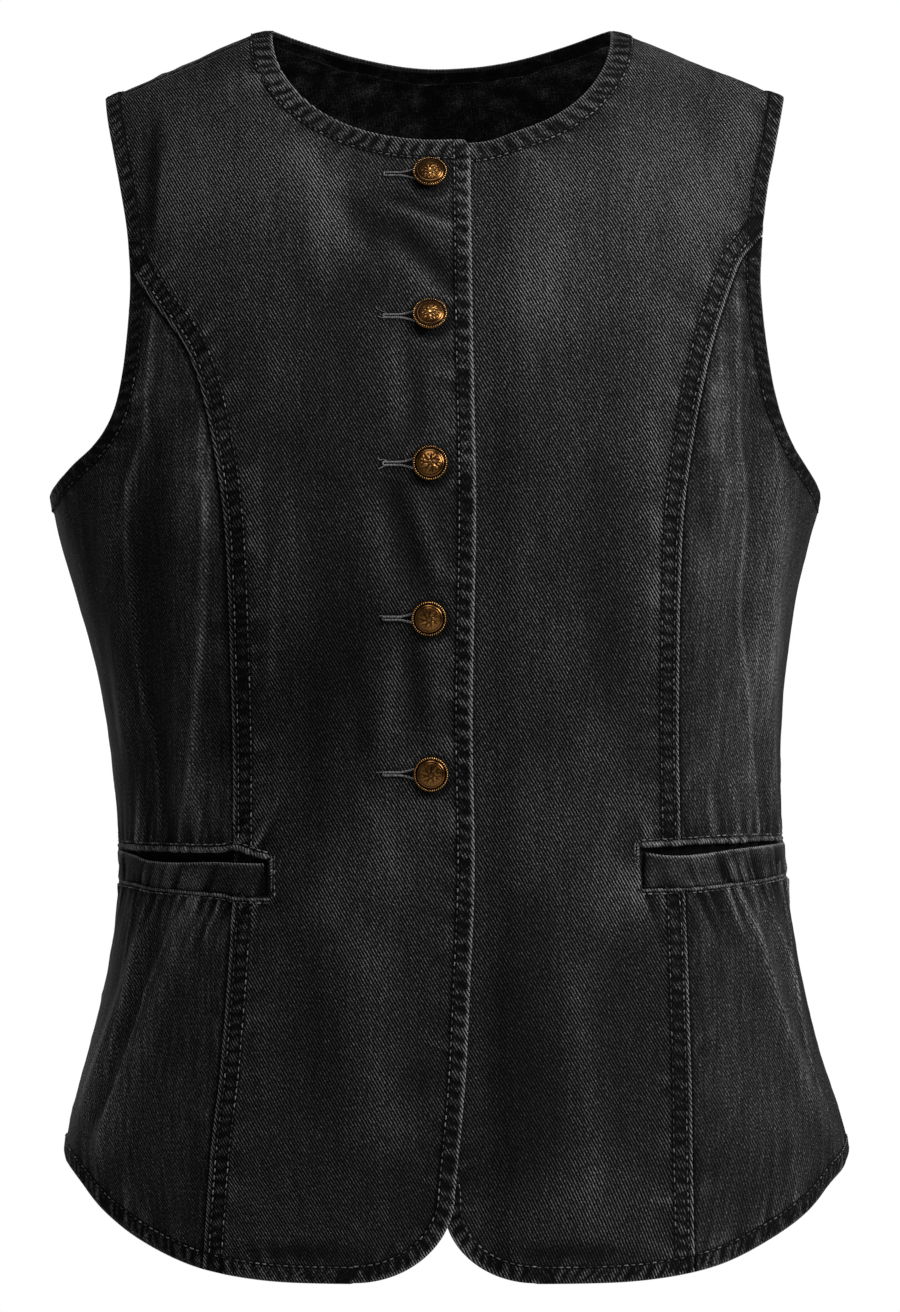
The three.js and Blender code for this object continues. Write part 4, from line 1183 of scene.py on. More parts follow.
def welt_relief(side, grid):
    """Height and tone: rising to the fold, rounded there, gathered at the foot. The fold is worn
    light, the gathers carry painted light and shade, and the foot and the ends are painted dark as
    shade.
    """
    rows, columns = grid.shape[:2]
    shares, lengths = np.linspace(0, 1, rows), np.linspace(0, WELT["length"], columns)
    up, run = np.meshgrid(shares, lengths, indexing="ij")
    seed = 120 if side == "right" else 140
    leaned = np.maximum(run + 5 * up, 0).ravel()
    gathers = ripples(leaned, 2.5, seed).reshape(up.shape)
    gathers = (1.3 * gathers - np.maximum(-gathers, 0) ** 2) * (1 - 0.8 * up**1.5)
    gathers *= 0.3 + 0.7 * smooth((run - 6) / 20)
    small = ripples(run.ravel(), 2, seed + 1).reshape(up.shape) * (1 - up)
    patchy = rumple(run, up * WELT["height"], 8, seed + 2)
    fold, foot, end = bell(up, 1, 0.06), bell(up, 0, 0.08), bell(run, 0, 1.3)
    closing = 0.6 + 0.4 * smooth((run[0, -1] - run) / 26)
    height = WELT["foot"] + WELT["gape"] * smooth(up) * closing + 0.5 * gathers + 0.2 * small
    height += 0.3 * patchy - 0.5 * fold - 0.8 * foot * closing - 0.5 * end
    # tone: the worn fold light, painted light and shade on the gathers, painted shade at the foot
    # and at the ends, and the wash spots
    tone = 0.6 * np.minimum(gathers, 0.35) + 0.2 * small + 0.25 * patchy + 0.95 * fold
    tone += wash_and_light_spots(plain(grid.reshape(-1, 2))).reshape(up.shape) - 0.9 * foot - 0.5 * end
    wall = WELT["thick"] - 0.7 * fold - 0.3 * end
    return height.ravel(), np.clip(tone, -1, 1).ravel(), wall.ravel()


for side in SIGN:
    grid = welt_grid(side)
    height, tone, wall = welt_relief(side, grid)
    name = f"pocket_welt_{side}"
    pieces[name] = shell(f"{name}_cloth", grid, height, wall, tone)

# %% [markdown]
# ## Neck facing
# Inside the back neck a narrow strip covers the raw edge. It lies on the inner face of the
# back, is drawn up by its own stitching and ends in a ragged lower edge.

# %% The facing
FACING = dict(width=10, length=180, gap=0.2, thick=0.9, cells=(320, 16))


def inward(line, middle):
    """Unit vectors square to a line of places and along the cloth, towards the middle."""
    points = plain(line)
    side = np.cross(directions(line)[2], np.gradient(points, axis=0))
    side /= np.linalg.norm(side, axis=-1, keepdims=True)
    half = len(line) // 2
    return side * np.sign(side[half] @ (middle - points[half]))


def facing():
    columns, rows = FACING["cells"]
    edge = even(back_neck_line(), columns)
    into = inward(edge, plain(np.array([HALF_TURN, roll_of(-250.0)])))
    run = np.linspace(0, FACING["length"], columns)
    uneven = 1 + 0.08 * ripples(run, 9, 160) + 0.04 * ripples(run, 3, 161)
    down = np.linspace(0.03, 1, rows)[:, None]
    offset = FACING["width"] * down * uneven
    grid = np.stack([move(edge, into * row[:, None]) for row in offset])
    waves = ripples(run, 7, 162) * down + 0.5 * ripples(run, 3.2, 163) * down
    under, _, wall = relief(PANELS["back"]["lines"], grid.reshape(-1, 2))
    height = (under - wall).reshape(rows, columns) - FACING["gap"] + 0.3 * np.minimum(waves, 0)
    # the facing is painted dark as shade inside the neck, its puckers are painted light and dark
    # as light and shade, and its lower edge is a light line
    tone = np.clip(-0.9 + 1.3 * waves + 2.6 * (down > 0.93), -1, 1)
    return grid, height.ravel(), np.full(height.size, FACING["thick"]), tone.ravel()


pieces["neck_facing"] = shell("neck_facing_cloth", *facing())

# %% [markdown]
# ## Piping, lips and thread
# The turned lip of each pocket, the ridges round it, the stitches and the buttonhole cord
# are all thin rounded strands that follow a path on the cloth. One function sweeps an oval
# along many paths at once.

# %% Strands
STRAND_SIDES = 6


def tube_quads(index):
    """Cells of closed tubes, from the numbers of their points by tube, ring and turn."""
    near, far = index[:, :-1], index[:, 1:]
    corners = [near, far, np.roll(far, -1, 2), np.roll(near, -1, 2)]
    return np.stack([c.ravel() for c in corners], -1).tolist()


def strands(paths, ups, half, high, sides=STRAND_SIDES):
    """Round each path an oval, half wide across it and high along up: point = path +
    across * half * cos(turn) + up * high * sin(turn). Both ends are closed."""
    ahead = np.gradient(paths, axis=1)
    across = np.cross(ahead, ups)
    across /= np.linalg.norm(across, axis=-1, keepdims=True)
    up = np.cross(across, ahead)
    up /= np.linalg.norm(up, axis=-1, keepdims=True)
    turn = np.linspace(0, 2 * np.pi, sides, endpoint=False)
    half = np.broadcast_to(half, paths.shape[:2])[..., None, None]
    high = np.broadcast_to(high, paths.shape[:2])[..., None, None]
    around = across[:, :, None] * half * np.cos(turn)[:, None]
    around = around + up[:, :, None] * high * np.sin(turn)[:, None]
    points = paths[:, :, None] + around
    index = np.arange(points[..., 0].size).reshape(points.shape[:3])
    caps = index[:, 0].tolist() + index[:, -1, ::-1].tolist()
    return points.reshape(-1, 3), tube_quads(index) + caps


def on_panel(panel, place, lift=0.0):
    """Points that lie on a panel's outer face, lifted, and the normals there."""
    normal = directions(place)[2]
    height = at_height(panel, place)[0] + lift
    return plain(place) + normal * height[:, None], normal


def ridge(name, panel_names, line, half, high, lift, tone, seed, sides=8, count=180):
    """A rounded ridge along a line that may cross from one panel to the next: at each
    place it lies on the higher of the panels' faces. It thins out at both ends."""
    place = even(line, count)
    height = np.maximum.reduce([at_height(PANELS[n], place)[0] for n in panel_names])
    normal = directions(place)[2]
    run = np.linspace(0, run_along(plain(place))[-1], count)
    lumps = ripples(run, 2.6, seed)
    taper = np.minimum(1, 0.12 + np.minimum(run / 2, (run[-1] - run) / 20))
    height = height + lift * taper - 0.5 * half * (1 - taper) + 0.15 * high * lumps
    path = plain(place) + normal * height[:, None]
    size = taper * (1 + 0.18 * lumps)
    points, faces = strands(path[None], normal[None], half * size, high * size, sides)
    turn = np.tile(np.linspace(0, 2 * np.pi, sides, endpoint=False), count)
    # the ridge is painted lighter on its outer side and darker on the side towards the cloth, as
    # painted light and shade, with lumps of its own
    shade = tone * np.sin(turn) + np.repeat(0.35 * lumps, sides)
    uv = np.stack([np.repeat(run, sides), turn * high], -1)
    pieces[name] = add_mesh(name, points, faces, uv, tone=np.clip(shade, -1, 1))


POCKET_RIDGES = {
    # line, start from the end, half width, height, lift, tone of the painted light and shade
    # across it
    "lip": ("lip", 0.5, 1.35, 1.2, 0.2, 0.55),
    "seam": ("foot", 0.4, 0.75, 0.7, 0.25, 0.5),
}
for side in SIGN:
    names = [f"front_{side}", f"side_front_{side}"]
    for k, (part, (line, start, *sizes)) in enumerate(POCKET_RIDGES.items()):
        path = pocket_line(side, line, start)
        if part == "lip":
            path = mix(path, pocket_line(side, "mouth", start), 0.5)
        ridge(f"pocket_{part}_{side}", names, path, *sizes, seed=180 + 10 * k)
    ridge(f"pocket_end_{side}", names[:1], pocket_end(side, -0.2), 0.85, 0.8, 0.45, 0.7, seed=200)
ridge("pocket_bar_left", ["front_left"], pocket_end("left", -1.6), 0.45, 0.5, 0.2, 0.7, seed=210)

# %% [markdown]
# ## Stitches
# Every turned edge is topstitched 7 to 10 mm in, and the felled princess seams have twin
# rows. A stitch is a short strand whose ends dive into the cloth. The rows follow the same
# lines as the borders, moved inwards along the cloth.

# %% Rows of stitches
STITCH = dict(pitch=3.4, share=0.68, half=0.3, high=0.27, uneven=(-0.45, 0.4))
# lift and thickness at the five points of a stitch
DIVE = np.array([-0.35, 0.12, 0.25, 0.12, -0.35])
THIN = np.array([0.6, 1, 1, 1, 0.6])
TRIM = {"neck": (8.5, 3), "back neck": (4, 4), "felled": (7.6, 7.6)}
THREAD_TONE = {"felled": 0, "placket": 0.15, "neck": 0.1, "hem": 0}
PLAIN_THREAD_TONE = -0.3


def inset(panel, line, away):
    """The line moved inwards along the cloth, evenly spaced."""
    dense = even(line, 500)
    middle = plain(panel["grid"].reshape(-1, 2)).mean(0)
    return even(move(dense, inward(dense, middle) * away), 1200)


def row_of_stitches(panel, line, trim, lift=0.0):
    """Paths and normals of the stitches of one row, five points each. None are made where
    a pocket's mouth is."""
    length = run_along(plain(line))[-1]
    starts = np.arange(trim[0], length - trim[1] - STITCH["pitch"], STITCH["pitch"])
    run = starts[:, None] + np.linspace(0, STITCH["share"] * STITCH["pitch"], len(DIVE))
    run = run[in_pocket(plain(along(line, run[:, len(DIVE) // 2] / length))) < 0.2]
    place = along(line, run.ravel() / length)
    points, normal = on_panel(panel, place, np.tile(DIVE, len(run)) + lift)
    return points.reshape(*run.shape, 3), normal.reshape(*run.shape, 3)


def thread_mesh(name, rows, tones, seed):
    """One mesh of many stitches, each with its own tone."""
    random = np.random.default_rng(seed)
    paths, ups = (np.concatenate(part) for part in zip(*rows))
    points, faces = strands(paths, ups, STITCH["half"] * THIN, STITCH["high"] * THIN)
    tone = np.repeat(tones, [len(row[0]) for row in rows])
    tone = tone + random.uniform(*STITCH["uneven"], len(tone))
    tone = np.repeat(tone, len(THIN) * STRAND_SIDES)
    pieces[name] = add_mesh(name, points, faces, points[:, [0, 2]], tone=tone)
    print(f"{name}: {len(paths)} stitches")


for k, (name, panel) in enumerate(PANELS.items()):
    rows, tones = [], []
    for kind, line, _ in panel["lines"]:
        for away in BORDERS[kind]["rows"]:
            rows.append(row_of_stitches(panel, inset(panel, line, away), TRIM.get(kind, (0, 0))))
            tones.append(THREAD_TONE.get(kind, PLAIN_THREAD_TONE))
    thread_mesh(f"{name}_stitches", rows, tones, 300 + k)

# %% Stitches round the pockets
POCKET_ROWS = {"lip": 1.1, "foot": -1.6}
POCKET_THREAD_TONE = 0.1

for side in SIGN:
    front, side_front = PANELS[f"front_{side}"], PANELS[f"side_front_{side}"]
    rows = []
    for line, shift in POCKET_ROWS.items():
        whole = pocket_line(side, line, 1.0)
        seam_x = curve(PRINCESS, side, POCKETS[side][line][3])
        on_front = np.abs(plain(whole)[:, 0]) < seam_x
        for owner, which in ((front, on_front), (side_front, ~on_front)):
            dense = even(whole[which], 400)
            moved = move(dense, np.zeros((400, 3)) + [0, 0, shift])
            rows.append(row_of_stitches(owner, even(moved, 500), (0.5, 0), 0.15))
    rows.append(row_of_stitches(front, even(pocket_end(side, -1.6), 500), (0, 0), 0.1))
    thread_mesh(f"pocket_stitches_{side}", rows, [POCKET_THREAD_TONE] * len(rows), 320)

# %% [markdown]
# ## Buttonholes
# The holes lie across the front, and the buttons sit at their outer ends. What shows is the
# grey cord that edges the hole: one bar where the hole is closed, which opens into a Y
# towards the button's shank. Some of the cords have come loose and stand out as tails.

# %% Buttonhole cords
CORD = dict(start=-31, fork=-24, end=-15, close=0.7, open=2.8, radius=0.5, purl_pitch=0.95)
TAILS = [
    # points as distance from the hole's closed end and height over it, by button from the top
    (1, (2.5, 0.2), (0.3, 1.9), (-2.6, 3.2), (-3.6, 4.6)),
    (1, (2, -0.4), (-0.5, -1.0), (-2.2, -0.2)),
    (2, (3, 0.5), (0.4, 1.8), (-1.6, 1.6), (-2.4, 2.8)),
    (2, (2.6, -0.3), (0, -1.5), (-2.2, -2.6)),
    (3, (1.5, 0.3), (-0.8, 1.2), (-2, 0.8)),
    (4, (1.8, 0.2), (-1, 0.9), (-3.2, 0.5)),
]


def cord_path(z, sign, count=60):
    """One edge of a buttonhole: close to its twin until the fork, then apart."""
    x = np.linspace(CORD["start"], CORD["end"], count)
    apart = smooth((x - CORD["fork"]) / (CORD["end"] - CORD["fork"]) * 0.8)
    return x, z + sign * mix(CORD["close"], CORD["open"], apart)


def strand_on_front(x, z, radius, purl=0.0, lift=0.3):
    """A cord along points seen from the front, its thickness beaded by purl."""
    points, normal = on_panel(PANELS["front_right"], seen(x, z), lift)
    size = radius * (1 + purl * np.sin(2 * np.pi * run_along(points) / CORD["purl_pitch"]))
    return strands(points[None], normal[None], size[None], size[None] * 0.9)


def join(parts):
    """Several point and face lists as one."""
    starts = np.cumsum([0] + [len(points) for points, _ in parts])
    faces = [[i + start for i in face] for (_, fs), start in zip(parts, starts) for face in fs]
    return np.concatenate([points for points, _ in parts]), faces


order = np.argsort(-BUTTONS["z"])
cords = []
for z in BUTTONS["z"]:
    cords += [strand_on_front(*cord_path(z, sign), CORD["radius"], 0.22) for sign in (-1, 1)]
    cords.append(strand_on_front(np.full(8, CORD["start"]), z + np.linspace(-0.9, 0.9, 8), 0.45))
for k, *spots in TAILS:
    spots = np.array(spots)
    t = np.linspace(0, len(spots) - 1, 24)
    dx, dz = (np.interp(t, np.arange(len(spots)), spots[:, c]) for c in (0, 1))
    z = BUTTONS["z"][order[k]]
    cords.append(strand_on_front(CORD["start"] + dx, z + dz, 0.2, 0, 0.35 + 0.02 * t))
points, faces = join(cords)
pieces["buttonhole_cords"] = add_mesh(
    "buttonhole_cords", points, faces, points[:, [0, 2]], tone=np.full(len(points), 0.6)
)

# %% [markdown]
# ## Buttons
# The buttons are pressed brass caps on a shank: a shallow dome with a plain ring round it
# and a beaded rim. The relief in the middle is a plain rosette. A cap is a profile turned
# round its axis, with the beads and petals added as waves that follow the turn.

# %% Button caps
PROFILE = np.array([
    # radius, height
    (0.0, 4.3), (0.8, 4.28), (1.6, 4.22), (2.4, 4.12), (3.2, 3.98), (4.0, 3.8), (4.7, 3.58),
    (5.2, 3.36), (5.45, 3.2), (5.65, 3.12), (5.85, 3.12), (6.1, 3.02), (6.4, 2.8), (6.65, 2.5),
    (6.85, 2.32), (7.0, 2.35), (7.2, 2.6), (7.45, 2.8), (7.7, 2.78), (7.95, 2.6), (8.12, 2.3),
    (8.18, 2.0), (8.05, 1.7), (7.7, 1.5), (7.0, 1.4), (5.6, 1.35), (4, 1.3), (2.9, 1.25),
    (2.3, 1.1), (2.2, 0.7), (2.6, 0.2), (3.0, 0.0), (0.0, 0.0),
])
BEADS, PETALS, DOTS = 46, 7, 16
SEAT = 0.2


def button_cap(x, z, tilt):
    """Profile turned round: height + beads near radius 7.6 + a rosette of petals and dots
    inside radius 4.8. Returns points, faces and tone, dark in the grooves."""
    turn = np.linspace(0, 2 * np.pi, BEADS * 4, endpoint=False)
    share = np.linspace(0, len(PROFILE) - 1, 2 * len(PROFILE))
    r, h = (np.interp(share, np.arange(len(PROFILE)), PROFILE[:, k]) for k in (0, 1))
    r, h, turn = r[1:-1, None], h[1:-1, None], turn[None]
    front = h > 2.2
    bead = np.cos(BEADS * turn) * bell(r, 7.6, 0.42) * 0.28
    leaf = np.cos(PETALS * turn + 0.9 * r) * bell(r, 2.4, 0.9) * 0.22
    eye = 0.25 * bell(r, 0, 0.7) - 0.2 * bell(r, 1.2, 0.3)
    dots = np.cos(DOTS * turn + 1.2 * r) * bell(r, 3.9, 0.5) * 0.14
    high = h + (bead + leaf + eye + dots) * front
    place = seen(x, z)
    normal = directions(place)[2]
    lean = np.radians(tilt)
    turned = [normal[0], normal[1] * np.cos(lean) + normal[2] * np.sin(lean)]
    axis = np.array([*turned, normal[2] * np.cos(lean) - normal[1] * np.sin(lean)])
    east = np.cross([0, 0, 1], axis)
    east /= -np.linalg.norm(east)
    north = np.cross(axis, east)
    foot = on_panel(PANELS["front_right"], place[None], SEAT)[0][0]
    flat = (r * np.cos(turn))[..., None] * east + (r * np.sin(turn))[..., None] * north
    points = foot + flat + high[..., None] * axis
    grid = np.arange(high.size).reshape(high.shape)
    top, low = grid.size, grid.size + 1
    caps = [[top, a, b] for a, b in zip(grid[0], np.roll(grid[0], -1))]
    caps += [[low, b, a] for a, b in zip(grid[-1], np.roll(grid[-1], -1))]
    points = np.concatenate([points.reshape(-1, 3), [foot + axis * PROFILE[0, 1]], [foot]])
    grooves = bell(r, 6.9, 0.35) + 0.6 * bell(r, 5.6, 0.2)
    tone = (high - h) * 1.7 + bead * 1.1 - grooves
    tone = np.append(np.clip(tone, -1, 1).ravel(), [0, 0])
    return points, tube_quads(grid[None]) + caps, tone


for k, i in enumerate(order):
    points, faces, tone = button_cap(BUTTONS["x"][i], BUTTONS["z"][i], BUTTONS["tilt"][i])
    pieces[f"button_{k + 1}"] = add_mesh(f"button_{k + 1}_cap", points, faces, tone=tone)

# %% [markdown]
# ## Materials
# The look of washed black denim is in its dye. The yarn is black only on the outside, so wherever
# it rubs it turns grey: along the twill lines, in streaks down the warp, on every ridge and edge.
# One node group makes the twill from the cloth's millimetres, one mixes it with the tone that the
# relief worked out, which holds painted light and shade as well as wear, and each material sets
# its own amounts.

# %% Node helpers
def feed(tree, sockets, values):
    """Puts a value on each of the named sockets, or links another socket to it."""
    for key, value in values.items():
        if isinstance(value, bpy.types.NodeSocket):
            tree.links.new(value, sockets[key])
        else:
            sockets[key].default_value = value


def add(tree, kind, inputs=None, **settings):
    """A shader node with its settings and what is fed to its inputs."""
    node = tree.nodes.new("ShaderNode" + kind)
    for key, value in settings.items():
        setattr(node, key, value)
    feed(tree, node.inputs, inputs or {})
    return node.outputs


def calc(tree, operation, *values):
    return add(tree, "Math", dict(enumerate(values)), operation=operation)[0]


def scaled(tree, vector, scale):
    return add(tree, "VectorMath", {0: vector, 1: scale}, operation="MULTIPLY")[0]


def noise(tree, vector, scale, detail=2, roughness=0.5):
    inputs = dict(Vector=vector, Scale=scale, Detail=detail, Roughness=roughness)
    return add(tree, "TexNoise", inputs)[0]


def attribute(tree, name):
    return add(tree, "Attribute", attribute_name=name)["Fac"]


def coloured(tree, level, stops):
    """The colour that a level picks from a ramp of stops, each a place and a colour."""
    ramp = tree.nodes.new("ShaderNodeValToRGB")
    for k, (at, colour) in enumerate(stops):
        stop = ramp.color_ramp.elements[k] if k < 2 else ramp.color_ramp.elements.new(at)
        stop.position, stop.color = at, (*colour, 1)
    tree.links.new(level, ramp.inputs[0])
    return ramp.outputs[0]


def group(name, inputs, outputs):
    """An empty node group: its tree, what it is given and the sockets that it gives."""
    tree = bpy.data.node_groups.new(name, "ShaderNodeTree")
    for socket, kind, value in inputs:
        made = tree.interface.new_socket(socket, in_out="INPUT", socket_type=f"NodeSocket{kind}")
        if value is not None:
            made.default_value = value
    for socket, kind in outputs:
        tree.interface.new_socket(socket, in_out="OUTPUT", socket_type=f"NodeSocket{kind}")
    given, out = tree.nodes.new("NodeGroupInput"), tree.nodes.new("NodeGroupOutput")
    return tree, given.outputs, out.inputs


def new_material(name):
    """A material, its tree and its shader's sockets."""
    made = bpy.data.materials.new(name)
    made.use_nodes = True
    return made, made.node_tree, made.node_tree.nodes["Principled BSDF"].inputs


# %% The twill
TWILL_AXIS = (0.866, 0.5)
TWILL_PITCH = 1.35


def twill_group():
    """Slanting lines: the sine of the distance across them over their pitch, bent and
    broken by noise. Grain is finer noise, streaks are noise drawn out along the warp."""
    sockets = [("Cloth", "Vector", None), ("Pitch", "Float", TWILL_PITCH)]
    sockets.append(("Break", "Float", 0.45))
    outputs = [("Lines", "Float"), ("Grain", "Float"), ("Streaks", "Float")]
    tree, given, out = group("twill", sockets, outputs)
    mm = scaled(tree, given["Cloth"], (1000, 1000, 0))
    parts = add(tree, "SeparateXYZ", {0: mm})
    across = calc(tree, "ADD", *(calc(tree, "MULTIPLY", parts[k], TWILL_AXIS[k]) for k in (0, 1)))
    bend = noise(tree, scaled(tree, mm, (0.9, 0.35, 0)), 1, 2, 0.6)
    turns = calc(tree, "DIVIDE", across, given["Pitch"])
    phase = calc(tree, "MULTIPLY_ADD", bend, given["Break"], turns)
    wave = calc(tree, "SINE", calc(tree, "MULTIPLY", phase, 2 * np.pi))
    lines = calc(tree, "MULTIPLY_ADD", wave, 0.5, 0.5)
    grain = noise(tree, scaled(tree, mm, (1.25, 0.8, 0)), 1, 3, 0.75)
    fine = noise(tree, scaled(tree, mm, (0.85, 0.05, 0)), 1, 2, 0.5)
    broad = noise(tree, scaled(tree, mm, (0.17, 0.016, 0)), 1, 2, 0.5)
    streaks = calc(tree, "MULTIPLY_ADD", broad, 0.35, calc(tree, "MULTIPLY", fine, 0.65))
    feed(tree, out, {"Lines": lines, "Grain": grain, "Streaks": streaks})
    return tree


TWILL = twill_group()


def wash_group():
    """Lightness of the cloth: a base, plus tone, lines, grain, streaks and clouds, each
    times its own amount, from 0 black to 1 pale. Height adds lines and grain."""
    names = ("Base", "Tone amount", "Line amount", "Grain amount", "Streak amount", "Cloud amount")
    sockets = [("Cloth", "Vector", None), ("Place", "Vector", None), ("Tone", "Float", 0.0)]
    sockets += [(name, "Float", 0.3) for name in names]
    sockets += [("Pitch", "Float", TWILL_PITCH), ("Cloud scale", "Float", 28.0)]
    tree, given, out = group("washed cloth", sockets, [("Light", "Float"), ("Height", "Float")])
    of_twill = {name: given[name] for name in ("Cloth", "Pitch")}
    twill = add(tree, "Group", of_twill, node_tree=TWILL)
    clouds = noise(tree, scaled(tree, given["Place"], (1, 1, 0.6)), given["Cloud scale"], 3, 0.6)
    light = calc(tree, "MULTIPLY_ADD", given["Tone"], given["Tone amount"], given["Base"])
    sources = (twill["Lines"], twill["Grain"], twill["Streaks"], clouds)
    for source, name in zip(sources, names[2:]):
        light = calc(tree, "MULTIPLY_ADD", calc(tree, "SUBTRACT", source, 0.5), given[name], light)
    light = calc(tree, "MINIMUM", calc(tree, "MAXIMUM", light, 0.0), 1.0)
    raised = calc(tree, "MULTIPLY", twill["Lines"], 0.5)
    height = calc(tree, "MULTIPLY_ADD", twill["Grain"], 0.8, raised)
    feed(tree, out, {"Light": light, "Height": height})
    return tree


WASH = wash_group()

# %% Stitch lines painted dark as shade in their grooves, and worn edges
MARKED = {"Row A": "row_a", "Row B": "row_b", "Row C": "row_c", "Brink": "brink"}
GROOVE_WIDTH, BRINK_WIDTH = 0.85, 1.3


def marks_group():
    """Bells exp(-(distance / width)^2) of the stitch rows and of the panel's edges."""
    outputs = [("Groove", "Float"), ("Worn", "Float")]
    tree, given, out = group("seam marks", [(name, "Float", FAR_OFF) for name in MARKED], outputs)

    def bell_of(name, width):
        share = calc(tree, "DIVIDE", given[name], width)
        square = calc(tree, "MULTIPLY", share, share)
        return calc(tree, "EXPONENT", calc(tree, "MULTIPLY", square, -1.0))

    rows = [bell_of(name, GROOVE_WIDTH) for name in list(MARKED)[:3]]
    groove = calc(tree, "MAXIMUM", rows[0], calc(tree, "MAXIMUM", rows[1], rows[2]))
    feed(tree, out, {"Groove": groove, "Worn": bell_of("Brink", BRINK_WIDTH)})
    return tree


MARKS = marks_group()

# %% Cloth materials
DYE = ((0, 0.0009), (0.25, 0.0031), (0.5, 0.0105), (0.75, 0.034), (1, 0.115))
# the stitch rows' grooves are painted dark as shade, and the edges are worn light
GROOVE_PAINTED_SHADE, WORN_TONE, GROOVE_DEPTH = -1.2, 0.8, -1.2


def dyed(
    name, base, tone=0.5, lines=0.5, grain=1.6, streaks=0.4, clouds=0.2, size=28, seams=False
):
    """Matt cloth: its lightness picks the colour from a ramp of faded dye. With seams, the stitch
    rows are grooves painted dark as shade, and the edges are worn light."""
    made, tree, shader = new_material(name)
    places, level = add(tree, "TexCoord"), attribute(tree, "tone")
    if seams:
        marked = {key: attribute(tree, distance) for key, distance in MARKED.items()}
        marked = add(tree, "Group", marked, node_tree=MARKS)
        level = calc(tree, "MULTIPLY_ADD", marked["Groove"], GROOVE_PAINTED_SHADE, level)
        level = calc(tree, "MULTIPLY_ADD", marked["Worn"], WORN_TONE, level)
    amounts = {"Cloth": places["UV"], "Place": places["Object"], "Tone": level, "Base": base}
    amounts.update({"Tone amount": tone, "Line amount": lines, "Grain amount": grain})
    amounts.update({"Streak amount": streaks, "Cloud amount": clouds, "Cloud scale": size})
    wash = add(tree, "Group", amounts, node_tree=WASH)
    height = wash["Height"]
    if seams:
        height = calc(tree, "MULTIPLY_ADD", marked["Groove"], GROOVE_DEPTH, height)
    bumped = add(tree, "Bump", dict(Strength=0.5, Distance=0.0003, Height=height))
    feed(tree, shader, {
        "Base Color": coloured(tree, wash["Light"], [(at, (grey,) * 3) for at, grey in DYE]),
        "Roughness": calc(tree, "MULTIPLY_ADD", wash["Height"], -0.12, 0.95),
        "Normal": bumped[0],
        "Specular IOR Level": 0.04,
        "Sheen Weight": 0.004,
        "Sheen Roughness": 0.4,
    })
    return made


denim = dyed("black denim", 0.215, lines=1.1, seams=True)
# the side panels get a copy of the same denim painted lighter, to stand in for the light on the
# sides
denim_of_sides_painted_lighter = dyed(
    "black denim of the sides, painted lighter", 0.38, lines=0.4, grain=1.8, streaks=0.8, seams=True
)
denim_trim = dyed("denim trim", 0.39)
denim_inside = dyed("denim inside", 0.45, lines=0.1, grain=2.2, clouds=1.5, size=90)
print("cloth materials:", denim.name, "and", denim_inside.name)

# %% [markdown]
# ## Thread and brass
# Thread is the same matt stuff as cloth but rounder and lighter. Brass that has aged is
# bright on its beads and petals and brown in the grooves between them.

# %% Thread and brass materials
BRASS = ((0.15, (0.007, 0.003, 0.001)), (0.55, (0.11, 0.047, 0.01)), (1, (0.6, 0.36, 0.12)))

twisted = dict(lines=0.1, streaks=0.2, clouds=0.4)
thread = dyed("sewing thread", 0.76, tone=0.55, grain=0.8, **twisted)
cord_thread = dyed("buttonhole cord", 0.65, tone=0.4, grain=1.2, **twisted)


def brass_material():
    """Metal whose colour goes from dark grooves to bright ridges, with uneven stains."""
    made, tree, shader = new_material("aged brass")
    stain = noise(tree, add(tree, "TexCoord")["Object"], 160, 2, 0.5)
    stained = calc(tree, "MULTIPLY_ADD", stain, 0.5, 0.2)
    level = calc(tree, "MULTIPLY_ADD", attribute(tree, "tone"), 0.6, stained)
    bumped = add(tree, "Bump", dict(Strength=0.12, Distance=0.0001, Height=stain))
    feed(tree, shader, {
        "Base Color": coloured(tree, level, BRASS),
        "Roughness": calc(tree, "MULTIPLY_ADD", stain, 0.15, 0.16),
        "Normal": bumped[0],
        "Metallic": 0.9,
    })
    return made


brass = brass_material()

# %% Dressing the pieces
for name, piece in pieces.items():
    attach(piece, "root")
    if name.startswith("button_"):
        piece.data.materials.append(brass)
    elif name == "buttonhole_cords":
        piece.data.materials.append(cord_thread)
    elif "stitches" in name:
        piece.data.materials.append(thread)
    else:
        outside = denim if name in PANELS else denim_trim
        for material in (denim_of_sides_painted_lighter if name.startswith("side") else outside, denim_inside):
            piece.data.materials.append(material)
    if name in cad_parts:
        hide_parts(name)

# %% [markdown]
# ## Floor, light and background
# A garment photographed like this hangs in a bright tent of soft light. The floor lies
# where the wearer's feet would be, so it is below the picture. The camera sees it and the
# background white, but neither throws that much light on the cloth. The main light stands
# to the right and above, others fill in from the left, from above and from behind.

# %% Stage and lights
FLOOR = dict(z=-1400, radius=6000, corners=64)

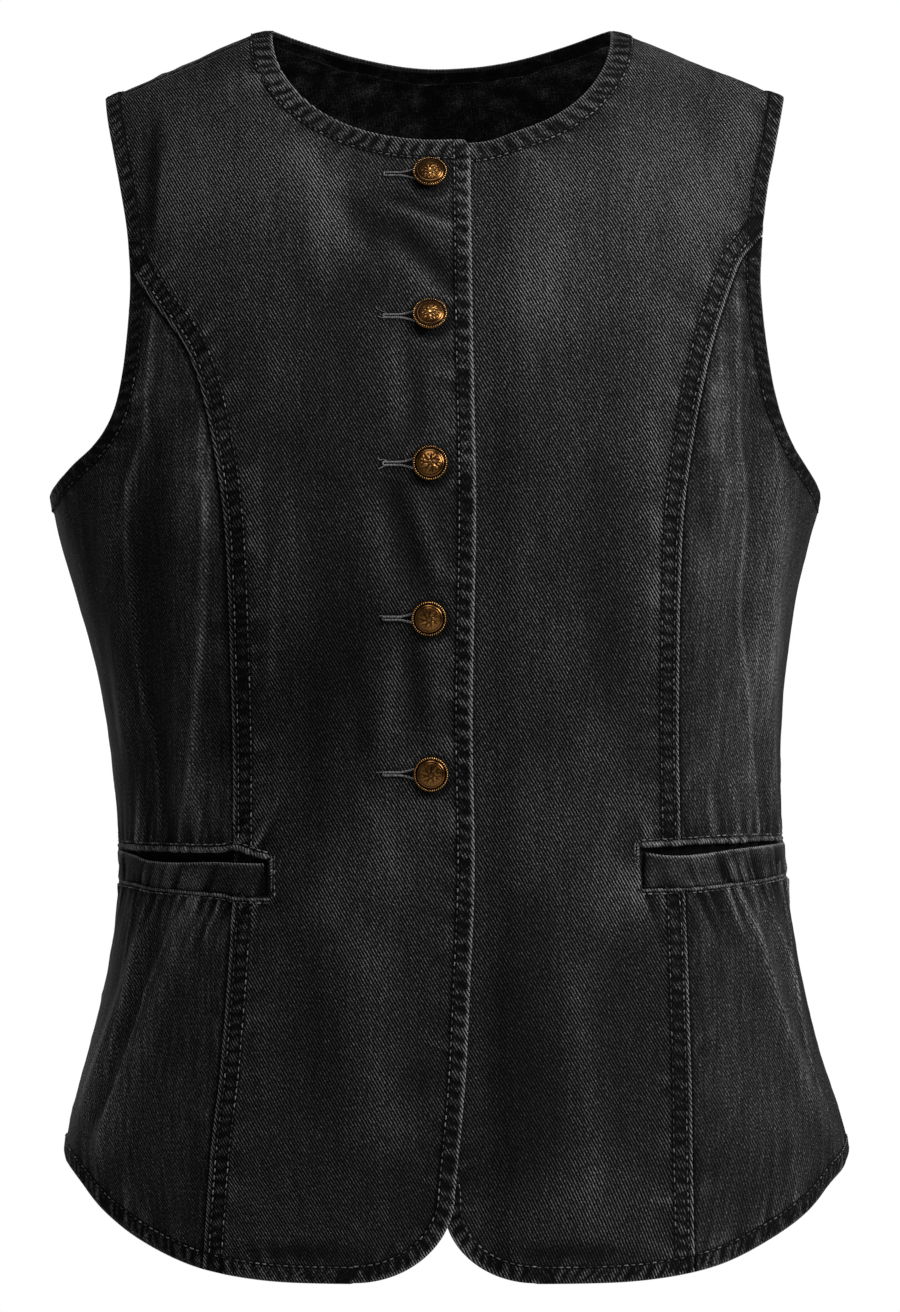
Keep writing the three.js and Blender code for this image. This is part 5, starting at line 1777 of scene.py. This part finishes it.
turn = np.linspace(0, 2 * np.pi, FLOOR["corners"], endpoint=False)
around = [FLOOR["radius"] * np.cos(turn), FLOOR["radius"] * np.sin(turn)]
rim = np.stack([*around, np.full_like(turn, FLOOR["z"])], -1)
floor = add_mesh("floor", rim, [list(range(FLOOR["corners"]))], smooth_faces=False)
pale, tree, shader = new_material("pale floor")
tint = noise(tree, add(tree, "TexCoord")["Object"], 3)
feed(tree, shader, {
    "Base Color": add(tree, "MapRange", {"Value": tint, "To Min": 0.78, "To Max": 0.82})[0],
    "Emission Color": (0.6, 0.6, 0.6, 1),
    "Emission Strength": add(tree, "LightPath")["Is Camera Ray"],
})
floor.data.materials.append(pale)

LAMPS = {
    # place in mm, size in m, power in W
    "key": ((2220, -1180, 1150), 1.3, 155),
    "fill": ((-2000, -1800, 200), 1.8, 4),
    "top": ((-100, -1500, 2000), 1.2, 50),
    "back": ((-900, 2600, 500), 1.8, 60),
}
LAMP_AIM = np.array([0, 0, -300.0])
for name, (place, size, power) in LAMPS.items():
    lamp = bpy.data.objects.new(name, bpy.data.lights.new(name, "AREA"))
    lamp.data.size, lamp.data.energy = size, power
    lamp.location = np.array(place) * MM
    x, y, z = LAMP_AIM - place
    lamp.rotation_euler = (np.arctan2(np.hypot(x, y), -z), 0, np.arctan2(-x, y))
    bpy.context.scene.collection.objects.link(lamp)

world = bpy.data.worlds.new("studio")
bpy.context.scene.world = world
world.use_nodes = True
tree = world.node_tree
by_ray = {"Value": add(tree, "LightPath")["Is Camera Ray"], "To Min": 0.11, "To Max": 1.0}
strength = add(tree, "MapRange", by_ray)[0]
feed(tree, tree.nodes["Background"].inputs, {"Strength": strength, "Color": (1, 1, 1, 1)})
bpy.context.scene.view_settings.view_transform = "Standard"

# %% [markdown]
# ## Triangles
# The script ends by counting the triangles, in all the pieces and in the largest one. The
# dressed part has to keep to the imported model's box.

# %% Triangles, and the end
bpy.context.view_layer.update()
meshes = [piece.data for piece in pieces.values()]
triangles = [len(mesh.loops) - 2 * len(mesh.polygons) for mesh in meshes]
print("triangles:", sum(triangles), "in all, most in one piece:", max(triangles))
